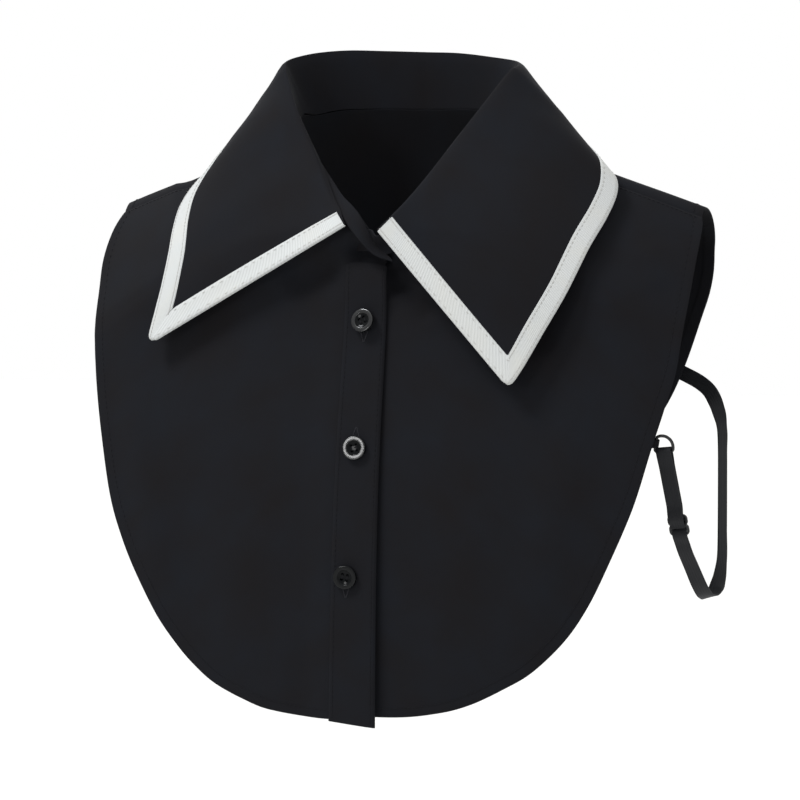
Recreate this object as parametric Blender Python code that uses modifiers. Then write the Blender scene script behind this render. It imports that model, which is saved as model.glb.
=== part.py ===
"""Detachable shirt collar: two buttoned fronts, a back, a neck band and a folded collar with ribbon trim.

Every cloth piece is a thin shell in the shape that it takes when worn, with nobody inside.
Frame: metres, +Z up, the wearer's left is +X and the front faces -Y.
The origin is the middle of the neck opening, at the height of the shoulders.
"""

import math

import bmesh
import bpy
from mathutils import Matrix, Vector

MM = 0.001
COLLECTION_NAME = "detachable_shirt_collar"
CUTTER_COLLECTION_NAME = "cutters"

# cloth thicknesses and the clearance between pieces that touch
PANEL_THICKNESS = 1.2 * MM
BAND_THICKNESS = 1.2 * MM
LEAF_THICKNESS = 1.6 * MM
TRIM_THICKNESS = 0.8 * MM
PLACKET_THICKNESS = 1.0 * MM
ELASTIC_THICKNESS = 0.8 * MM
SEAM_GAP = 0.3 * MM

# the general figure that the cloth hangs on
NECK_HALF_WIDTH = 64 * MM
SHOULDER_HALF_WIDTH = 174 * MM
SHOULDER_SET_BACK = 25 * MM
CHEST_DEPTH = 53.5 * MM
CHEST_WRAP = 27 * MM
BACK_DEPTH = 76 * MM
BACK_WRAP = 19 * MM
FRONT_WALL_TOP = -45 * MM
FRONT_WALL_DROP = 66 * MM
BACK_WALL_TOP = -60 * MM
ROLL_LENGTH = 100 * MM
FRONT_BEND_NECK = 1.88
FRONT_BEND_TIP = 1.6
BACK_BEND = 1.0
LEAN = 27 * MM
LEAN_TOP = -85 * MM
LEAN_LENGTH = 65 * MM

# shoulder line: (distance from the middle, height) in millimetres
FRONT_RIDGE = (
    (0, 17), (30, 16.5), (50, 15.5), (64, 12), (76, 4), (95, -6), (120, -16), (150, -27), (174, -36),
)
BACK_RIDGE = ((0, 46), (25, 42), (46, 31), (64, 12), (76, 4), (95, -6), (120, -16), (150, -27), (174, -36))

# fronts
SHOULDER_SEAM = 19 * MM
SHOULDER_SEAM_GAP = 1 * MM
NECK_SIDE = 59 * MM
LAP_LIFT = 1.6 * MM
LAP_START = 15 * MM
LAP_END = 34 * MM
SIDE_SHARE = 0.56
NECK_SHARE = 0.45
# armhole, side and hem of each front: (distance from the middle, height)
FRONT_OUTLINE = {
    "right": (
        (178, -52), (179.5, -68), (177.5, -87), (174, -112), (170.5, -138), (164, -168),
        (154.5, -203.5), (142, -226), (130, -245), (108, -286), (98, -296), (85, -304), (68, -311),
        (50, -316.5), (22, -319.5), (-12.2, -320.5),
    ),
    "left": (
        (175.5, -47), (175.5, -68), (174.5, -95), (172.5, -123), (167.5, -144.5), (161.5, -167),
        (151.5, -200.5), (136.5, -236), (116, -274), (100, -290), (86, -299), (67, -309), (48, -314.5),
        (24, -317.5), (-12, -319),
    ),
}

# back: armhole, side and hem (distance from the middle, height)
BACK_OUTLINE = (
    (172.4, -48), (171.5, -59), (171, -72), (168.5, -85), (164, -98), (153, -128), (141, -152), (124, -174),
    (94, -192), (56, -204), (24, -208.5), (0, -209),
)

# neckline and top edge of the neck band, in pairs from the front end to the middle of the back
# front: (neck across, neck height, lift of the band, rise of the band, top across, top depth, top height)
BAND_ENDS = {
    "right": (
        (-13.5, -61.5, 2.7, 0, -17.3, -60, -64.6), (-10, -58.5, 2.7, 0, -8, -61.5, -61),
        (-5.5, -54, 2.7, 0, -2.4, -62, -57), (2.3, -44.5, 2.7, 0, 3, -62, -52),
        (9, -38.5, 2.7, 0, 11.5, -59.7, -44.8),
    ),
    "left": (
        (-13, -63, 0, 3.4, -13.5, -53.4, -50), (-8, -60.5, 0, 3.4, -8.5, -53.4, -47),
        (-3, -58, -0.4, 4.2, -3, -53.2, -45), (3, -54, -0.4, 8.4, 3, -53.4, -44.4),
        (9, -43.5, 3.2, 8.6, 8.2, -59.9, -47.6),
    ),
}
BAND_FRONT = (
    (18, -30, 2.7, 0, 20.5, -52.5, -34), (27, -21, 2.7, 0, 30.3, -42.5, -20),
    (41, -7, 2.4, 0, 42.7, -29.5, 0), (52, 2, 2, 0, 55.7, -18, 20), (58.5, 8, 2, 0, 66.6, -2, 38),
)
# back: (neck across, neck depth, top across, top depth, top height)
BAND_BACK = (
    (59.3, 0, 68.8, 3, 40.7), (59.2, 10, 70.2, 9.5, 43), (56.5, 24, 67.5, 20, 45.5),
    (47.5, 36.5, 59, 33, 48.5), (33.5, 45, 43.5, 43.5, 51), (17, 49, 22, 49, 52), (0, 50.5, 0, 50.5, 52),
)
END_ROWS = 4
BAND_BACK_LIFT = 1.1 * MM
BAND_BELOW_FOLD = 2.2 * MM

# outer edge of the collar, point to shoulder: (across, depth, height)
EDGE_LEFT = (
    (86.5, -65.5, -131), (92, -62, -121), (99.5, -56.5, -104), (112, -48.5, -81), (121.5, -36, -56.5),
    (127.5, -20.5, -41), (130.3, -9, -30), (129, -1.5, -22.5), (124, 3, -16), (115, 8, -10),
)
EDGE_RIGHT = (
    (132, -52.5, -110), (130.5, -50, -101), (129, -47.5, -92.3), (127, -42.5, -78), (126.5, -36, -62.5),
    (128, -27, -50), (128.2, -18, -39), (125.5, -11, -30), (121, -6.5, -23.2), (115, -4, -17.4),
    (109.5, 3, -11.5),
)
# outer edge of the collar behind the shoulder: (across, depth)
EDGE_BACK = ((101, 16), (87, 30), (67, 43), (38, 53), (0, 57))
EDGE_BACK_LIFT = 4 * MM
LEAF_CLEARANCE = 1.5 * MM
LEAF_SOFTNESS = 1.5 * MM
LEAF_BULGE = 4.5 * MM
LEAF_COLUMNS = 60
LEAF_ROWS = 9
LEAF_ROW_POWER = 1.8
FOLD_ROLL = 1.4 * MM
FOLD_ROLL_SHARE = 0.035
FOLD_ROLL_START = 0.22
TRIM_WIDTH = 10.4 * MM
TRIM_GAP = 0.6 * MM
CORNER_REACH = 0.12

# button band and buttons
PLACKET_HALF_WIDTH = 12 * MM
PLACKET_FLARE = 1 * MM
PLACKET_TOP = -56 * MM
PLACKET_TOP_SLOPE = 0.62
PLACKET_HEM_DROP = 1.2 * MM
BUTTON_RADIUS = 6.6 * MM
BUTTON_THICKNESS = 2.6 * MM
BUTTON_HOLE_RADIUS = 0.85 * MM
BUTTON_HOLE_SPACING = 2.9 * MM
# buttons: (across, height)
BUTTONS = ((-0.7, -98.7), (-1.7, -169), (-4.3, -240))

# strap loops
STRAP_WIDTH = 8.5 * MM
RING_WIRE_RADIUS = 0.75 * MM
# ring: (across the strap, up from the strap), and the straight side that the tab holds
RING_SHAPE = (
    (-5.7, 0), (-3, 0), (0, 0), (3, 0), (5.7, 0), (6.4, 1.4), (6.3, 4), (5, 6.6), (2.6, 8.6), (-0.4, 9.2),
    (-2.3, 8.8), (-3, 7.8), (-4, 5.6), (-5, 3.4), (-6, 1.2),
)
RING_SIDE = ((-2.9, 8), (-5.4, 2.5))
SLIDER_HALF_WIDTH = 6.2 * MM
SLIDER_HALF_LENGTH = 6.6 * MM
SLIDER_BAR = 1.8 * MM
SLIDER_THICKNESS = 1.3 * MM
SLIDER_STATION = 45 * MM
WEAVE_SLACK = 0.3 * MM
TAB_WIDTH = 4.2 * MM
TAB_ROOT_WIDTH = 7.6 * MM
TAB_ROOT_ACROSS = 156 * MM
TAB_ROOT_HEIGHT = -161 * MM
TAB_ROOT_DEPTH = {"left": 2.2 * MM, "right": 0.8 * MM}
TAB_FLAT = 0.2 * MM
TAB_TAPER = 5 * MM
LAYER_SPREAD = 0.8 * MM
# strap from the ring to the back panel: (outward, depth, height) and its width direction
STRAP_BASE = 158 * MM
STRAP_ROUTE = (
    (8.8, -36, -168.5, 1, 0, 0), (10.6, -31, -184.5, 1, 0, 0), (12.7, -23.5, -205, 1, 0, 0),
    (14.1, -18.3, -218.5, 1, 0.05, 0), (15.1, -14, -226, 1, 0.1, 0), (16.8, -5, -236, 1, 0.2, 0),
    (18.7, 5, -247, 0.9, 0.4, 0), (19.8, 14, -253.5, 0.8, 0.5, 0), (20.6, 23, -255.5, 0.7, 0.5, 0.2),
    (21.2, 32, -253, 0.6, 0.6, 0.3),
    (21.8, 40, -246.5, 0.5, 0.8, 0.2), (21.8, 46, -235, 0.4, 0.9, 0), (21, 49.5, -219, 0.35, 0.93, 0),
    (20.4, 52, -203, 0.35, 0.93, 0), (19.8, 54, -176, 0.35, 0.93, 0), (19, 56, -163, 0.4, 0.85, 0),
    (16.2, 58, -152, 0.5, 0.6, 0.4), (11.2, 60.5, -142.5, 0.5, 0.3, 0.75), (4.7, 62.5, -137, 0.4, 0.1, 0.85),
    (-4.5, 64.3, -132.5, 0.35, 0, 0.93), (-14, 65.4, -128.5, 0.35, 0, 0.93),
)
STRAP_SWING = {"left": 1.0, "right": -0.75}

SIDES = {"left": 1, "right": -1}


def new_material(name, colour, roughness, metallic=0.0):
    """Principled material with one colour; the viewport shows the same colour."""
    material = bpy.data.materials.new(name)
    material.use_nodes = True
    shader = material.node_tree.nodes["Principled BSDF"]
    shader.inputs["Base Color"].default_value = (*colour, 1.0)
    shader.inputs["Roughness"].default_value = roughness
    shader.inputs["Metallic"].default_value = metallic
    material.diffuse_color = (*colour, 1.0)
    return material


def read_table(table, station, column=1):
    """Smooth reading, in metres, of a table in millimetres whose first column rises."""
    value = station / MM
    rows = table
    index = 0
    while index < len(rows) - 2 and value > rows[index + 1][0]:
        index += 1
    low, high = rows[index], rows[index + 1]
    span = high[0] - low[0]

    def slope(place):
        before = rows[max(place - 1, 0)]
        after = rows[min(place + 1, len(rows) - 1)]
        return (after[column] - before[column]) / (after[0] - before[0])

    share = min(max((value - low[0]) / span, 0.0), 1.0)
    square = share * share
    cube = square * share
    result = (
        (2 * cube - 3 * square + 1) * low[column]
        + (cube - 2 * square + share) * span * slope(index)
        + (3 * square - 2 * cube) * high[column]
        + (cube - square) * span * slope(index + 1)
    )
    return result * MM


def smooth_step(value):
    """0 below 0, 1 above 1 and a soft rise between."""
    share = min(max(value, 0.0), 1.0)
    return share * share * (3 - 2 * share)


def route(points, fineness=24):
    """Function from a share of the length, 0 to 1, to a point on a smooth curve through the points."""
    samples = []
    for index in range(len(points) - 1):
        start, end = points[index], points[index + 1]
        before = points[index - 1] if index else start * 2 - end
        after = points[index + 2] if index + 2 < len(points) else end * 2 - start
        for step in range(fineness):
            t = step / fineness
            samples.append(
                0.5 * (
                    2 * start
                    + (end - before) * t
                    + (2 * before - 5 * start + 4 * end - after) * t * t
                    + (3 * start - before - 3 * end + after) * t * t * t
                )
            )
    samples.append(points[-1].copy())
    lengths = [0.0]
    for first, second in zip(samples, samples[1:]):
        lengths.append(lengths[-1] + (second - first).length)

    def at(share):
        target = min(max(share, 0.0), 1.0) * lengths[-1]
        low, high = 0, len(lengths) - 1
        while high - low > 1:
            middle = (low + high) // 2
            if lengths[middle] <= target:
                low = middle
            else:
                high = middle
        piece = lengths[high] - lengths[low]
        return samples[low].lerp(samples[high], (target - lengths[low]) / piece)

    at.length = lengths[-1]
    return at


# ---------------------------------------------------------------- the figure


def body_column(reach, behind):
    """Ridge depth and height, wall depth and height, and bend at a distance from the middle."""
    width = reach / SHOULDER_HALF_WIDTH
    past_neck = max(0.0, (reach - NECK_HALF_WIDTH) / (SHOULDER_HALF_WIDTH - NECK_HALF_WIDTH))
    ridge_depth = SHOULDER_SET_BACK * past_neck ** 1.3
    if behind:
        wall_depth = BACK_DEPTH - BACK_WRAP * width ** 2
        return ridge_depth, read_table(BACK_RIDGE, reach), wall_depth, BACK_WALL_TOP, BACK_BEND
    wall_depth = -CHEST_DEPTH + CHEST_WRAP * width ** 2
    wall_height = FRONT_WALL_TOP - FRONT_WALL_DROP * width ** 2
    bend = FRONT_BEND_NECK + (FRONT_BEND_TIP - FRONT_BEND_NECK) * width
    return ridge_depth, read_table(FRONT_RIDGE, reach), wall_depth, wall_height, bend


def chest_rise(height):
    """How far the chest stands forward of the wall under the shoulders."""
    fall = max(0.0, LEAN_TOP - height) / LEAN_LENGTH
    return LEAN * (1 - math.exp(-fall * fall / (1 + fall)))


def body_point(across, along):
    """Point of the figure: across from the middle, along down the front (or, below zero, the back)."""
    behind = along < 0
    ridge_depth, ridge_height, wall_depth, wall_height, bend = body_column(abs(across), behind)
    turn = min(abs(along) / ROLL_LENGTH, 1.0) * math.pi / 2
    depth = ridge_depth + (wall_depth - ridge_depth) * math.sin(turn) ** bend
    height = wall_height + (ridge_height - wall_height) * max(math.cos(turn), 0.0) ** bend
    height -= max(0.0, abs(along) - ROLL_LENGTH)
    if not behind:
        depth -= chest_rise(height)
    return Vector((across, depth, height))


def body_normal(across, along):
    """Outward direction of the figure."""
    step = 0.5 * MM
    sideways = body_point(across + step, along) - body_point(across - step, along)
    downward = body_point(across, along + step) - body_point(across, along - step)
    return downward.cross(sideways).normalized()


def on_body(across, along, lift=0.0):
    """Point at a lift off the figure."""
    return body_point(across, along) + body_normal(across, along) * lift


def along_at_height(across, height, behind=False):
    """Where a column of the figure passes a height."""
    _, ridge_height, _, wall_height, bend = body_column(abs(across), behind)
    if height < wall_height:
        distance = ROLL_LENGTH + wall_height - height
    else:
        level = min((height - wall_height) / (ridge_height - wall_height), 1.0)
        distance = math.acos(level ** (1 / bend)) * ROLL_LENGTH * 2 / math.pi
    return -distance if behind else distance


def along_at_depth(across, depth):
    """Where a column of the figure's back passes a depth."""
    ridge_depth, _, wall_depth, _, _ = body_column(abs(across), True)
    level = min(max((depth - ridge_depth) / (wall_depth - ridge_depth), 0.0), 1.0)
    return -math.asin(level) * ROLL_LENGTH * 2 / math.pi


def clear_of_body(point, direction, clearance):
    """Point moved softly along a direction where it comes closer to the figure than a clearance."""

    def distance(along):
        return (body_point(point.x, along) - point).length

    step = 12 * MM
    best = min((index * step for index in range(-10, 18)), key=distance)
    while step > 0.02 * MM:
        step *= 0.5
        best = min((best - step, best, best + step), key=distance)
    offset = point - body_point(point.x, best)
    height = offset.length if offset.dot(direction) > 0 else -offset.length
    short = clearance - height
    return point + direction * (short + math.sqrt(short * short + LEAF_SOFTNESS * LEAF_SOFTNESS)) / 2


# ---------------------------------------------------------------- making shells


def link(name, data, material, collection):
    """New object of some data, in its collection."""
    thing = bpy.data.objects.new(name, data)
    if material:
        data.materials.append(material)
    collection.objects.link(thing)
    return thing


def shell(name, columns, rows, surface, thickness, material, collection, turned=False):
    """Grid laid on a surface of (u, v), both 0 to 1, with a wall on its outer side."""
    mesh = bpy.data.meshes.new(name)
    grid = bmesh.new()
    bmesh.ops.create_grid(grid, x_segments=columns, y_segments=rows, size=0.5)
    for vertex in grid.verts:
        u, v = vertex.co.x + 0.5, vertex.co.y + 0.5
        vertex.co = surface(u, v)
    if turned:
        bmesh.ops.reverse_faces(grid, faces=grid.faces)
    grid.to_mesh(mesh)
    grid.free()
    mesh.shade_smooth()
    piece = link(name, mesh, material, collection)
    wall = piece.modifiers.new("wall", "SOLIDIFY")
    wall.thickness = thickness
    wall.offset = 1.0
    wall.use_even_offset = False
    return piece


def patch(top, bottom, inner, outer):
    """Surface in the (across, along) plane between four border curves."""
    corner_a, corner_b = top(0), top(1)
    corner_c, corner_d = bottom(0), bottom(1)

    def at(u, v):
        return (
            top(u) * (1 - v) + bottom(u) * v + inner(v) * (1 - u) + outer(v) * u
            - corner_a * ((1 - u) * (1 - v)) - corner_b * (u * (1 - v))
            - corner_c * ((1 - u) * v) - corner_d * (u * v)
        )

    return at


def flat_points(rows, behind=False):
    """Rows of (across, height) in millimetres as (across, along) points."""
    points = []
    for across, height in rows:
        points.append(Vector((across * MM, along_at_height(across * MM, height * MM, behind))))
    return points


def two_part(first, second, share):
    """Border that runs along one curve up to a share and then along another."""

    def at(u):
        if u <= share:
            return first(u / share)
        return second((u - share) / (1 - share))

    return at


# ---------------------------------------------------------------- panels


def front_patch(side):
    """One front in the (across, along) plane, on its own side of the middle."""
    neck_point = Vector((NECK_SIDE, SHOULDER_SEAM))
    shoulder_point = Vector((SHOULDER_HALF_WIDTH, SHOULDER_SEAM))
    neck_rows = [row[:2] for row in BAND_ENDS[side] + BAND_FRONT[:-1]]
    neckline = route(flat_points(neck_rows) + [neck_point])
    outline = route([shoulder_point] + flat_points(FRONT_OUTLINE[side]))

    def shoulder(u):
        return neck_point.lerp(shoulder_point, u)

    def bottom(u):
        return outline(1 - u * (1 - SIDE_SHARE))

    def outer(v):
        return outline(v * SIDE_SHARE)

    top = two_part(neckline, shoulder, NECK_SHARE)

    def inner(v):
        return top(0).lerp(bottom(0), v)

    return patch(top, bottom, inner, outer)


def lap_lift(across):
    """Lift of the upper front where it lies over the lower one."""
    return LAP_LIFT * smooth_step((LAP_END - across) / (LAP_END - LAP_START))


def make_front(side, material, collection):
    """A front; the wearer's right one laps over the left one."""
    sign = SIDES[side]
    upper = side == "right"
    flat = front_patch(side)

    def surface(u, v):
        place = flat(u, v)
        lift = lap_lift(place.x) if upper else 0.0
        return on_body(sign * place.x, place.y, lift)

    return shell("front_" + side, 20, 20, surface, PANEL_THICKNESS, material, collection, turned=not upper)


def make_back(material, collection):
    """The back, which passes over the shoulders to the seams."""
    seam = SHOULDER_SEAM - SHOULDER_SEAM_GAP
    neck_points = []
    for across, depth in [row[:2] for row in BAND_BACK[::-1]]:
        neck_points.append(Vector((across * MM, along_at_depth(across * MM, depth * MM))))
    neck_points.append(Vector((NECK_SIDE, seam)))
    neckline = route(neck_points)
    shoulder_point = Vector((SHOULDER_HALF_WIDTH, seam))
    ridge_point = Vector((SHOULDER_HALF_WIDTH + 1 * MM, 0))
    outline = route([shoulder_point, ridge_point] + flat_points(BACK_OUTLINE, True))

    def shoulder(u):
        return neck_points[-1].lerp(shoulder_point, u)

    def bottom(u):
        return outline(1 - u * 0.5)

    def outer(v):
        return outline(v * 0.5)

    top = two_part(neckline, shoulder, 7 / 15)

    def inner(v):
        return top(0).lerp(bottom(0), v)

    half = patch(top, bottom, inner, outer)

    def surface(u, v):
        place = half(abs(2 * u - 1), v)
        sign = 1 if u >= 0.5 else -1
        return on_body(sign * place.x, place.y)

    return shell("back", 30, 14, surface, PANEL_THICKNESS, material, collection)


def make_placket(material, collection):
    """Button band on the upper front, from its points moved out."""
    lift = LAP_LIFT + PANEL_THICKNESS + SEAM_GAP
    hem = FRONT_OUTLINE["right"][-1][1] * MM - PLACKET_HEM_DROP

    def surface(u, v):
        across = (1 - 2 * u) * (PLACKET_HALF_WIDTH + PLACKET_FLARE * v)
        top = PLACKET_TOP - PLACKET_TOP_SLOPE * across
        height = top + (hem - top) * v
        return on_body(across, along_at_height(across, height), lift)

    return shell("placket", 4, 28, surface, PLACKET_THICKNESS, material, collection)


# ---------------------------------------------------------------- neck band


def knots(points):
    """Function from a share of the rows, 0 to 1, to a point on a smooth curve through the points."""
    last = len(points) - 1

    def at(share):
        place = min(max(share, 0.0), 1.0) * last
        index = min(int(place), last - 1)
        t = place - index
        start, end = points[index], points[index + 1]
        before = points[index - 1] if index else start * 2 - end
        after = points[index + 2] if index + 2 <= last else end * 2 - start
        return 0.5 * (
            2 * start
            + (end - before) * t
            + (2 * before - 5 * start + 4 * end - after) * t * t
            + (3 * start - before - 3 * end + after) * t * t * t
        )

    return at


def band_points(side):
    """Points of the neckline and of the top edge, from one front end to the middle of the back."""
    sign = SIDES[side]
    neck_points = []
    top_points = []
    for across, height, seat, rise, *top in BAND_ENDS[side] + BAND_FRONT:
        lift = seat * MM + (lap_lift(across * MM) if side == "right" else 0.0)
        along = along_at_height(across * MM, (height + rise) * MM)
        neck_points.append(on_body(sign * across * MM, along, lift))
        top_points.append(Vector((sign * top[0], top[1], top[2])) * MM)
    for across, depth, *top in BAND_BACK:
        along = along_at_depth(across * MM, depth * MM)
        neck_points.append(on_body(sign * across * MM, along, PANEL_THICKNESS + BAND_BACK_LIFT))
        top_points.append(Vector((sign * top[0], top[1], top[2])) * MM)
    return neck_points, top_points


def make_band(material, collection):
    """Neck band in one piece; its right end laps over its left one."""
    curves = {side: [knots(points) for points in band_points(side)] for side in SIDES}

    def surface(u, v):
        side = "left" if u >= 0.5 else "right"
        share = 1 - abs(2 * u - 1)
        neck = curves[side][0](share)
        rise = curves[side][1](share) - neck
        start = min(SEAM_GAP * 2 / rise.length, 0.4)
        end = max(1 - BAND_BELOW_FOLD / rise.length, 0.6)
        return neck + rise * (start + (end - start) * v)

    return shell("neck_band", 60, 3, surface, BAND_THICKNESS, material, collection, turned=True)


# ---------------------------------------------------------------- collar leaf and trim


def edge_points(side):
    """Outer edge of the collar on one side, from its point to just before the middle of the back."""
    sign = SIDES[side]
    points = []
    for across, depth, height in EDGE_LEFT if side == "left" else EDGE_RIGHT:
        points.append(Vector((sign * across, depth, height)) * MM)
    for across, depth in EDGE_BACK:
        along = along_at_depth(across * MM, depth * MM)
        points.append(on_body(sign * across * MM, along, PANEL_THICKNESS + EDGE_BACK_LIFT))
    return points


def leaf_surface():
    """Function of (u, v, out): u round the neck from right to left, v from fold to outer edge."""
    fold_halves = {side: route(band_points(side)[1][END_ROWS:]) for side in SIDES}
    edge_halves = {side: route(edge_points(side)) for side in SIDES}

    def straight(u, v):
        side = "left" if u >= 0.5 else "right"
        share = 1 - abs(2 * u - 1)
        fold = fold_halves[side](share)
        edge = edge_halves[side](share)
        return fold.lerp(edge, v)

    def outward(u, v):
        step = 0.004
        low, high = max(u - step, 0.0), min(u + step, 1.0)
        sideways = straight(high, v) - straight(low, v)
        downward = straight(u, 1.0) - straight(u, 0.0)
        return sideways.cross(downward).normalized()

    def inner(u, v):
        share = 1 - abs(2 * u - 1)
        roll = FOLD_ROLL * (1 - math.exp(-v / FOLD_ROLL_SHARE)) * (1 - 0.7 * v)
        roll *= smooth_step(share / FOLD_ROLL_START)
        bulge = LEAF_BULGE * math.sin(math.pi * v) * smooth_step(share / 0.12)
        bulge *= 1 - 0.7 * smooth_step((share - 0.25) / 0.25)
        direction = outward(u, v)
        rolled = straight(u, v) + direction * (roll + bulge)
        return clear_of_body(rolled, direction, PANEL_THICKNESS + LEAF_CLEARANCE)

    def at(u, v, out=0.0):
        if not out:
            return inner(u, v)
        step_u, step_v = 0.006, 0.03
        sideways = inner(min(u + step_u, 1), v) - inner(max(u - step_u, 0), v)
        downward = inner(u, min(v + step_v, 1)) - inner(u, max(v - step_v, 0))
        return inner(u, v) + sideways.cross(downward).normalized() * out

    return at


def leaf_row(share):
    """Rows crowd towards the fold."""
    return share ** LEAF_ROW_POWER


def make_leaf(leaf, material, collection):
    """Collar leaf in one piece round the neck."""

    def surface(u, v):
        return leaf(u, leaf_row(v))

    return shell("collar_leaf", LEAF_COLUMNS, LEAF_ROWS, surface, LEAF_THICKNESS, material, collection)


def trim_inset(leaf, u, v, width):
    """Steps in u and v that move a border point of the leaf in by a width."""
    step = 0.002
    across = (leaf(min(u + step, 1), v) - leaf(max(u - step, 0), v)) / (min(u + step, 1) - max(u - step, 0))
    down = (leaf(u, min(v + step, 1)) - leaf(u, max(v - step, 0))) / (min(v + step, 1) - max(v - step, 0))
    across_part = across - down * (across.dot(down) / down.length_squared)
    down_part = down - across * (across.dot(down) / across.length_squared)
    return width / across_part.length, width / down_part.length


def make_trim(leaf, material, collection):
    """Ribbon along one front edge, round the point, along the outer edge, and back up the other front."""
    out = LEAF_THICKNESS + TRIM_GAP
    corner_right = trim_inset(leaf, 0, 1, TRIM_WIDTH)
    corner_left = trim_inset(leaf, 1, 1, TRIM_WIDTH)
    front_share = LEAF_ROWS
    edge_share = LEAF_COLUMNS
    total = front_share * 2 + edge_share

    def surface(u, v):
        station = u * total
        if station <= front_share:
            share = leaf_row(station / front_share)
            inner_v = share * (1 - corner_right[1])
            inset = trim_inset(leaf, 0, share, TRIM_WIDTH)[0]
            outer, inner = (0, share), (inset, inner_v)
        elif station >= total - front_share:
            share = leaf_row((total - station) / front_share)
            inner_v = share * (1 - corner_left[1])
            inset = trim_inset(leaf, 1, share, TRIM_WIDTH)[0]
            outer, inner = (1, share), (1 - inset, inner_v)
        else:
            share = (station - front_share) / edge_share
            inner_u = share + corner_right[0] * max(0.0, 1 - share / CORNER_REACH) ** 2
            inner_u -= corner_left[0] * max(0.0, 1 - (1 - share) / CORNER_REACH) ** 2
            inset = trim_inset(leaf, share, 1, TRIM_WIDTH)[1]
            outer, inner = (share, 1), (inner_u, 1 - inset)
        place_u = outer[0] + (inner[0] - outer[0]) * v
        place_v = outer[1] + (inner[1] - outer[1]) * v
        return leaf(place_u, place_v, out)

    return shell("collar_trim", total, 2, surface, TRIM_THICKNESS, material, collection, turned=True)


# ---------------------------------------------------------------- buttons


def make_button_mesh(cutter_collection):
    """Four-hole button: a turned disc with a raised rim and a dished middle, pierced by four holes."""
    radius = BUTTON_RADIUS
    thick = BUTTON_THICKNESS
    profile = (
        (0, 0), (radius * 0.82, 0), (radius * 0.97, thick * 0.3), (radius, thick * 0.62),
        (radius * 0.93, thick * 0.93), (radius * 0.84, thick), (radius * 0.74, thick * 0.93),
        (radius * 0.64, thick * 0.66), (0, thick * 0.56),
    )
    mesh = bpy.data.meshes.new("button_profile")
    shape = bmesh.new()
    corners = [shape.verts.new((x, 0, z)) for x, z in profile[::-1]]
    for first, second in zip(corners, corners[1:]):
        shape.edges.new((first, second))
    shape.to_mesh(mesh)
    shape.free()
    disc = link("button_disc", mesh, None, cutter_collection)
    turn = disc.modifiers.new("turn", "SCREW")
    turn.steps = 24
    turn.render_steps = 24
    turn.use_merge_vertices = True
    turn.merge_threshold = 0.00001
    turn.use_normal_calculate = True
    for x_sign in (-1, 1):
        for y_sign in (-1, 1):
            hole_mesh = bpy.data.meshes.new("button_hole")
            hole = bmesh.new()
            bmesh.ops.create_cone(
                hole, cap_ends=True, segments=8, radius1=BUTTON_HOLE_RADIUS, radius2=BUTTON_HOLE_RADIUS,
                depth=thick * 3,
            )
            hole.to_mesh(hole_mesh)
            hole.free()
            cutter = link("button_hole", hole_mesh, None, cutter_collection)
            cutter.location = (x_sign * BUTTON_HOLE_SPACING / 2, y_sign * BUTTON_HOLE_SPACING / 2, thick / 2)
            cutter.hide_render = True
            cutter.display_type = "WIRE"
            cut = disc.modifiers.new("hole", "BOOLEAN")
            cut.object = cutter
            cut.operation = "DIFFERENCE"
    bpy.context.view_layer.update()
    finished = bpy.data.meshes.new_from_object(disc.evaluated_get(bpy.context.evaluated_depsgraph_get()))
    finished.name = "button"
    finished.shade_smooth()
    finished.set_sharp_from_angle(angle=math.radians(40))
    bpy.data.objects.remove(disc)
    return finished


def make_buttons(material, collection, cutter_collection):
    """Three buttons on the button band."""
    mesh = make_button_mesh(cutter_collection)
    mesh.materials.append(material)
    lift = LAP_LIFT + PANEL_THICKNESS + PLACKET_THICKNESS + SEAM_GAP * 2
    for number, (across, height) in enumerate(BUTTONS, 1):
        along = along_at_height(across * MM, height * MM)
        normal = body_normal(across * MM, along)
        place = on_body(across * MM, along, lift)
        button = bpy.data.objects.new("button_%d" % number, mesh)
        button.matrix_world = Matrix.Translation(place) @ normal.to_track_quat("Z", "Y").to_matrix().to_4x4()
        collection.objects.link(button)


# ---------------------------------------------------------------- strap loops


def strap_frame(side):
    """Function from a distance along the strap to its middle, tangent, width and face directions."""
    sign = SIDES[side]
    points = []
    widths = []
    for outward, depth, height, *width in STRAP_ROUTE:
        swung = outward * STRAP_SWING[side] if outward > 0 else outward
        points.append(Vector((sign * (STRAP_BASE + swung * MM), depth * MM, height * MM)))
        widths.append(Vector((sign * width[0], width[1], width[2])))
    line = route(points)
    stations = [0.0]
    for first, second in zip(points, points[1:]):
        stations.append(stations[-1] + (second - first).length)

    def width_at(share):
        target = min(max(share, 0.0), 1.0) * stations[-1]
        index = 0
        while index < len(stations) - 2 and target > stations[index + 1]:
            index += 1
        part = (target - stations[index]) / (stations[index + 1] - stations[index])
        return widths[index].lerp(widths[index + 1], smooth_step(part))

    def at(distance):
        share = distance / line.length
        step = 0.01
        tangent = (line(share + step) - line(share - step)).normalized()
        width = width_at(share)
        width = (width - tangent * width.dot(tangent)).normalized()
        face = width.cross(tangent)
        middle = line(share)
        if distance < 0:
            middle = line(0) + tangent * distance
        return middle, tangent, width, face

    at.length = line.length
    return at


def strap_path():
    """Distances along the strap and offsets to its face: back end, slider, round the ring, slider bar."""
    turn_radius = RING_WIRE_RADIUS + SEAM_GAP * 1.3 + ELASTIC_THICKNESS / 2
    weave = SLIDER_THICKNESS / 2 + SEAM_GAP + ELASTIC_THICKNESS / 2 + WEAVE_SLACK
    bar = SLIDER_HALF_LENGTH - SLIDER_BAR / 2
    return turn_radius, weave, bar


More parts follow.
